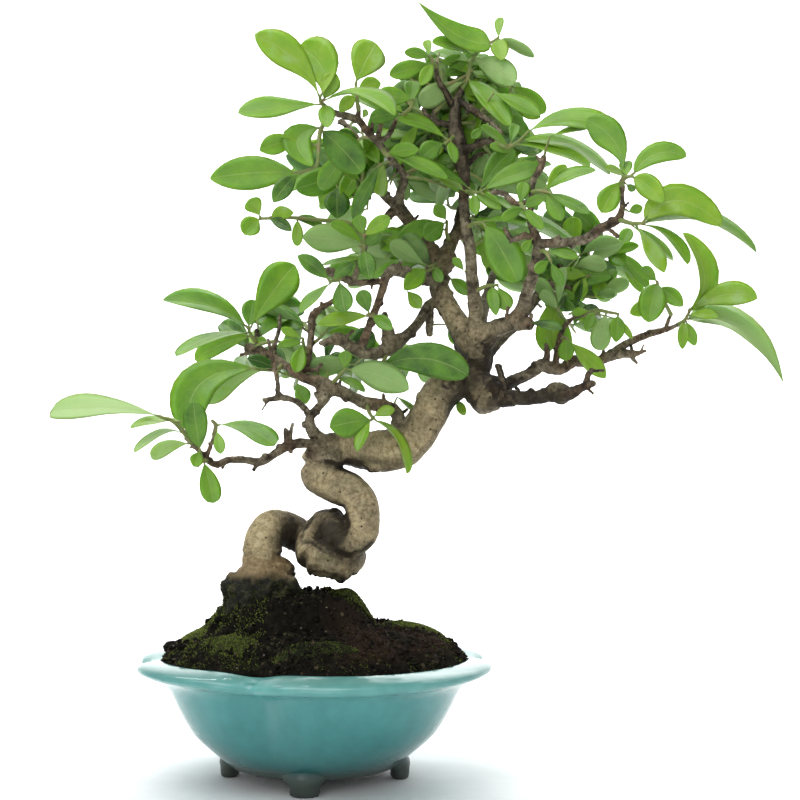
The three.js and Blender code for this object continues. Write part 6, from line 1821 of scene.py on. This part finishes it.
# Cushion moss: tiny pointed leaves, matt, olive to bright yellow-green at their tips
mossPalette = {
    "deep": "#11140a",
    "olive": "#373f1c",
    "bright": "#6d7a34",
    "tuftMm": 0.46,
    "looseTufts": 12000,
    "rootTries": 7000,  # places looked at on the rootstock, of which some are clad
}
mossSkin = newMaterial("olive_cushion_moss")
mossPlace = addNode(mossSkin, "TexCoord").outputs["Object"]
mossNoise = addNode(
    mossSkin, "TexNoise", {"Scale": 700.0, "Detail": 4.0, "Roughness": 0.7}, {"Vector": mossPlace}
)
mossPatch = addNode(mossSkin, "TexNoise", {"Scale": 110.0, "Detail": 3.0}, {"Vector": mossPlace})
mossLight = addNode(mossSkin, "Attribute", {"attribute_name": "light"}).outputs["Fac"]
mossMix = addNode(mossSkin, "Math", {"operation": "MULTIPLY_ADD", 1: 0.55}, {0: mossNoise, 2: mossLight})
mossSum = addNode(mossSkin, "Math", {"operation": "MULTIPLY_ADD", 1: 0.35}, {0: mossPatch, 2: mossMix})
mossTone = addNode(
    mossSkin, "ValToRGB",
    {"stops": [(0.35, mossPalette["deep"]), (0.62, mossPalette["olive"]), (0.95, mossPalette["bright"])]},
    {"Fac": mossSum},
)
mossBump = addNode(mossSkin, "Bump", {"Strength": 0.5, "Distance": 0.0003}, {"Height": mossNoise})
finishMaterial(
    mossSkin, {"Roughness": 0.85, "Specular IOR Level": 0.15}, {"Base Color": mossTone, "Normal": mossBump}
)


def addTuft(heap, place, out, size, dice, glow):
    # one small pointed bud: a three-sided foot, a wider middle and a tip
    out = unit(np.array(out) + np.array([dice.gauss(0, 0.35), dice.gauss(0, 0.35), dice.gauss(0, 0.2)]))
    side = unit(np.cross(out, [0.3, 0.9, 0.1]))
    other = np.cross(out, side)
    first = dice.uniform(0, 1.6)
    turns = [first + k * 2.094 for k in range(3)]  # a third of a turn apart
    ring = [side * math.cos(turn) + other * math.sin(turn) for turn in turns]
    tall = size * dice.uniform(0.9, 1.9)
    points = [place + r * size * 0.3 - out * 0.2 * size for r in ring]
    points += [place + r * size * 0.5 + out * tall * 0.4 for r in ring]
    points.append(place + out * tall)
    faces = [(2, 1, 0)]
    for k in range(3):
        j = (k + 1) % 3
        faces.append((k, j, 3 + j, 3 + k))
        faces.append((3 + k, 3 + j, 6))
    heap.add(points, faces, mark=[glow * 0.5] * 3 + [glow] * 3 + [glow + 0.1])


def finishMoss(name, heap, standsFor=()):
    piece = newPiece(name, heap.points, heap.faces, [mossSkin], standsFor)
    noteOnPoints(piece.data, "light", heap.marks)


mossCushions = {
    # middle, half widths, turn, height, share of light colour, tufts
    "moss_left": (-50, -5, 8, 13, 0, 1.7, 0.3, 1700),
    "moss_left_front": (-33, -34, 12, 7, -0.7, 1.2, 0.24, 1500),
    "moss_front": (3, -47, 15, 5, 0.05, 0.9, 0.08, 1200),
    "moss_ridge": (44, 6, 12, 9, 0, 2.0, 0.26, 2000),
    "moss_crown": (15, 4, 9, 10, 0, 1.9, 0.24, 1800),
    "moss_back": (0, 42, 20, 9, 0, 2.0, 0.18, 2400),
}
# size and lift of each ring of a cushion, from its buried foot to its top; a lift above 0
# is a share of the height, one below is in mm
cushionLevels = [
    (0.9, -1.6), (0.97, -0.4), (0.98, 0.3), (0.9, 0.55), (0.74, 0.8), (0.55, 0.95), (0.34, 1.0), (0.14, 1.0),
]


def cushionPoint(spec, a, size):
    x, y, wide, deep, turn = spec[:5]
    ripple = 1 + 0.1 * math.sin(3 * a + x) + 0.09 * math.sin(5 * a + y)
    ripple = ripple + 0.05 * math.sin(11 * a) + 0.04 * math.sin(17 * a + x)
    u, v = wide * size * ripple * math.cos(a), deep * size * ripple * math.sin(a)
    return x + u * math.cos(turn) - v * math.sin(turn), y + u * math.sin(turn) + v * math.cos(turn)


def makeCushions(dice):
    for name, spec in mossCushions.items():
        height, glow, count = spec[5:]
        heap = Heap()
        rings = []
        for size, lift in cushionLevels:
            ring = []
            for k in range(72):
                px, py = cushionPoint(spec, 2 * math.pi * k / 72, size)
                dome = lift * height * 0.82 if lift > 0 else lift
                lumps = 0.35 * noise.fractal(Vector((px / 2.2, py / 2.2, 1.5)), 0.9, 2.1, 2)
                ring.append((px, py, smoothGroundAt(px, py) + dome + lumps))
            rings.append(ring)
        px, py = cushionPoint(spec, 0, 0)
        low = smoothGroundAt(px, py)
        points, faces = closedLoft(rings, (px, py, low - 1.6), (px, py, low + height * 0.85))
        heap.add(points, faces, mark=glow - 0.12)
        for _ in range(count):
            a, size = dice.uniform(0, 2 * math.pi), dice.random() ** 0.5
            x, y = cushionPoint(spec, a, size * 1.04)
            dome = height * 0.82 * (1 - max(0, size - 0.35) ** 2.2 / 0.65**2.2 * 0.8)
            z = smoothGroundAt(x, y) + dome
            patch = 0.16 * noise.noise(Vector((x / 2.2, y / 2.2, 4.0)))
            out = (0.2 * math.cos(a), 0.2 * math.sin(a), 1)
            addTuft(
                heap, np.array([x, y, z]), out, mossPalette["tuftMm"], dice,
                glow + patch + dice.gauss(0, 0.13),
            )
        finishMoss(name.replace("moss_", "moss_cushion_"), heap, [name])


def makeLooseMoss(dice):
    # between the cushions: the left slope, the crest and ridge at the right, and patches
    # along the rim
    heap = Heap()
    placed = 0
    while placed < mossPalette["looseTufts"]:
        turn, share = dice.uniform(-math.pi, math.pi), dice.random() ** 0.5 * 0.985
        reach = share * float(soilWall(turn))
        x, y = math.cos(turn) * reach, math.sin(turn) * reach
        patch = noise.fractal(Vector((x / 6.5, y / 6.5, 9.0)), 0.9, 2.0, 3)
        chance, glow, start = 0.22, 0.0, 0.0
        if x < -18:
            chance, glow, start = 1.0, 0.31, -0.14
        if x > 6 and y > -10:
            chance, glow = 0.85, 0.28
        if y > 12:
            chance, glow = 0.7, 0.24
        if share > 0.84 and y < -8:
            chance, glow = max(0.7, chance), max(0.12, glow - 0.08)
        if 2 < x < 46 and -42 < y < -10:
            chance, glow = 0.05, 0.1
        if dice.random() > chance * smoothstep(patch, start, start + 0.1):
            continue
        z = groundAt(x, y)
        size = mossPalette["tuftMm"] * dice.uniform(0.5, 1.35)
        glow += 0.14 * noise.noise(Vector((x / 3, y / 3, 2.0))) - 0.04
        addTuft(heap, np.array([x, y, z]), (x / 90, y / 90, 1), size, dice, glow + dice.gauss(0, 0.13))
        placed += 1
    finishMoss("loose_moss", heap)


def makeRootMoss(dice):
    # on the rootstock, thickest on its shaded left edge
    heap = Heap()
    trunk = bpy.data.objects["privet_trunk"].data
    low = [p for p in trunk.polygons if 60 < (p.center[2] - potMiddle[2]) * 1000 < 87]
    for _ in range(mossPalette["rootTries"]):
        face = low[dice.randrange(len(low))]
        place = (np.array(face.center) - potMiddle) * 1000
        if place[0] > 4:
            continue
        cover = noise.fractal(Vector(place) / 7, 0.9, 2.0, 3) + (
            0.4 if place[0] < -30 or place[2] > 80 else 0.05
        )
        if cover < dice.uniform(-0.1, 0.35) or place[2] > 82 + 8 * noise.noise(Vector(place) / 5):
            continue
        glow = 0.24 if place[0] < -30 else 0.08
        addTuft(heap, place, face.normal, mossPalette["tuftMm"], dice, glow + dice.gauss(0, 0.1))
    finishMoss("root_moss", heap)


mossDice = random.Random(23)
makeCushions(mossDice)
makeLooseMoss(mossDice)
makeRootMoss(mossDice)
print("moss made")
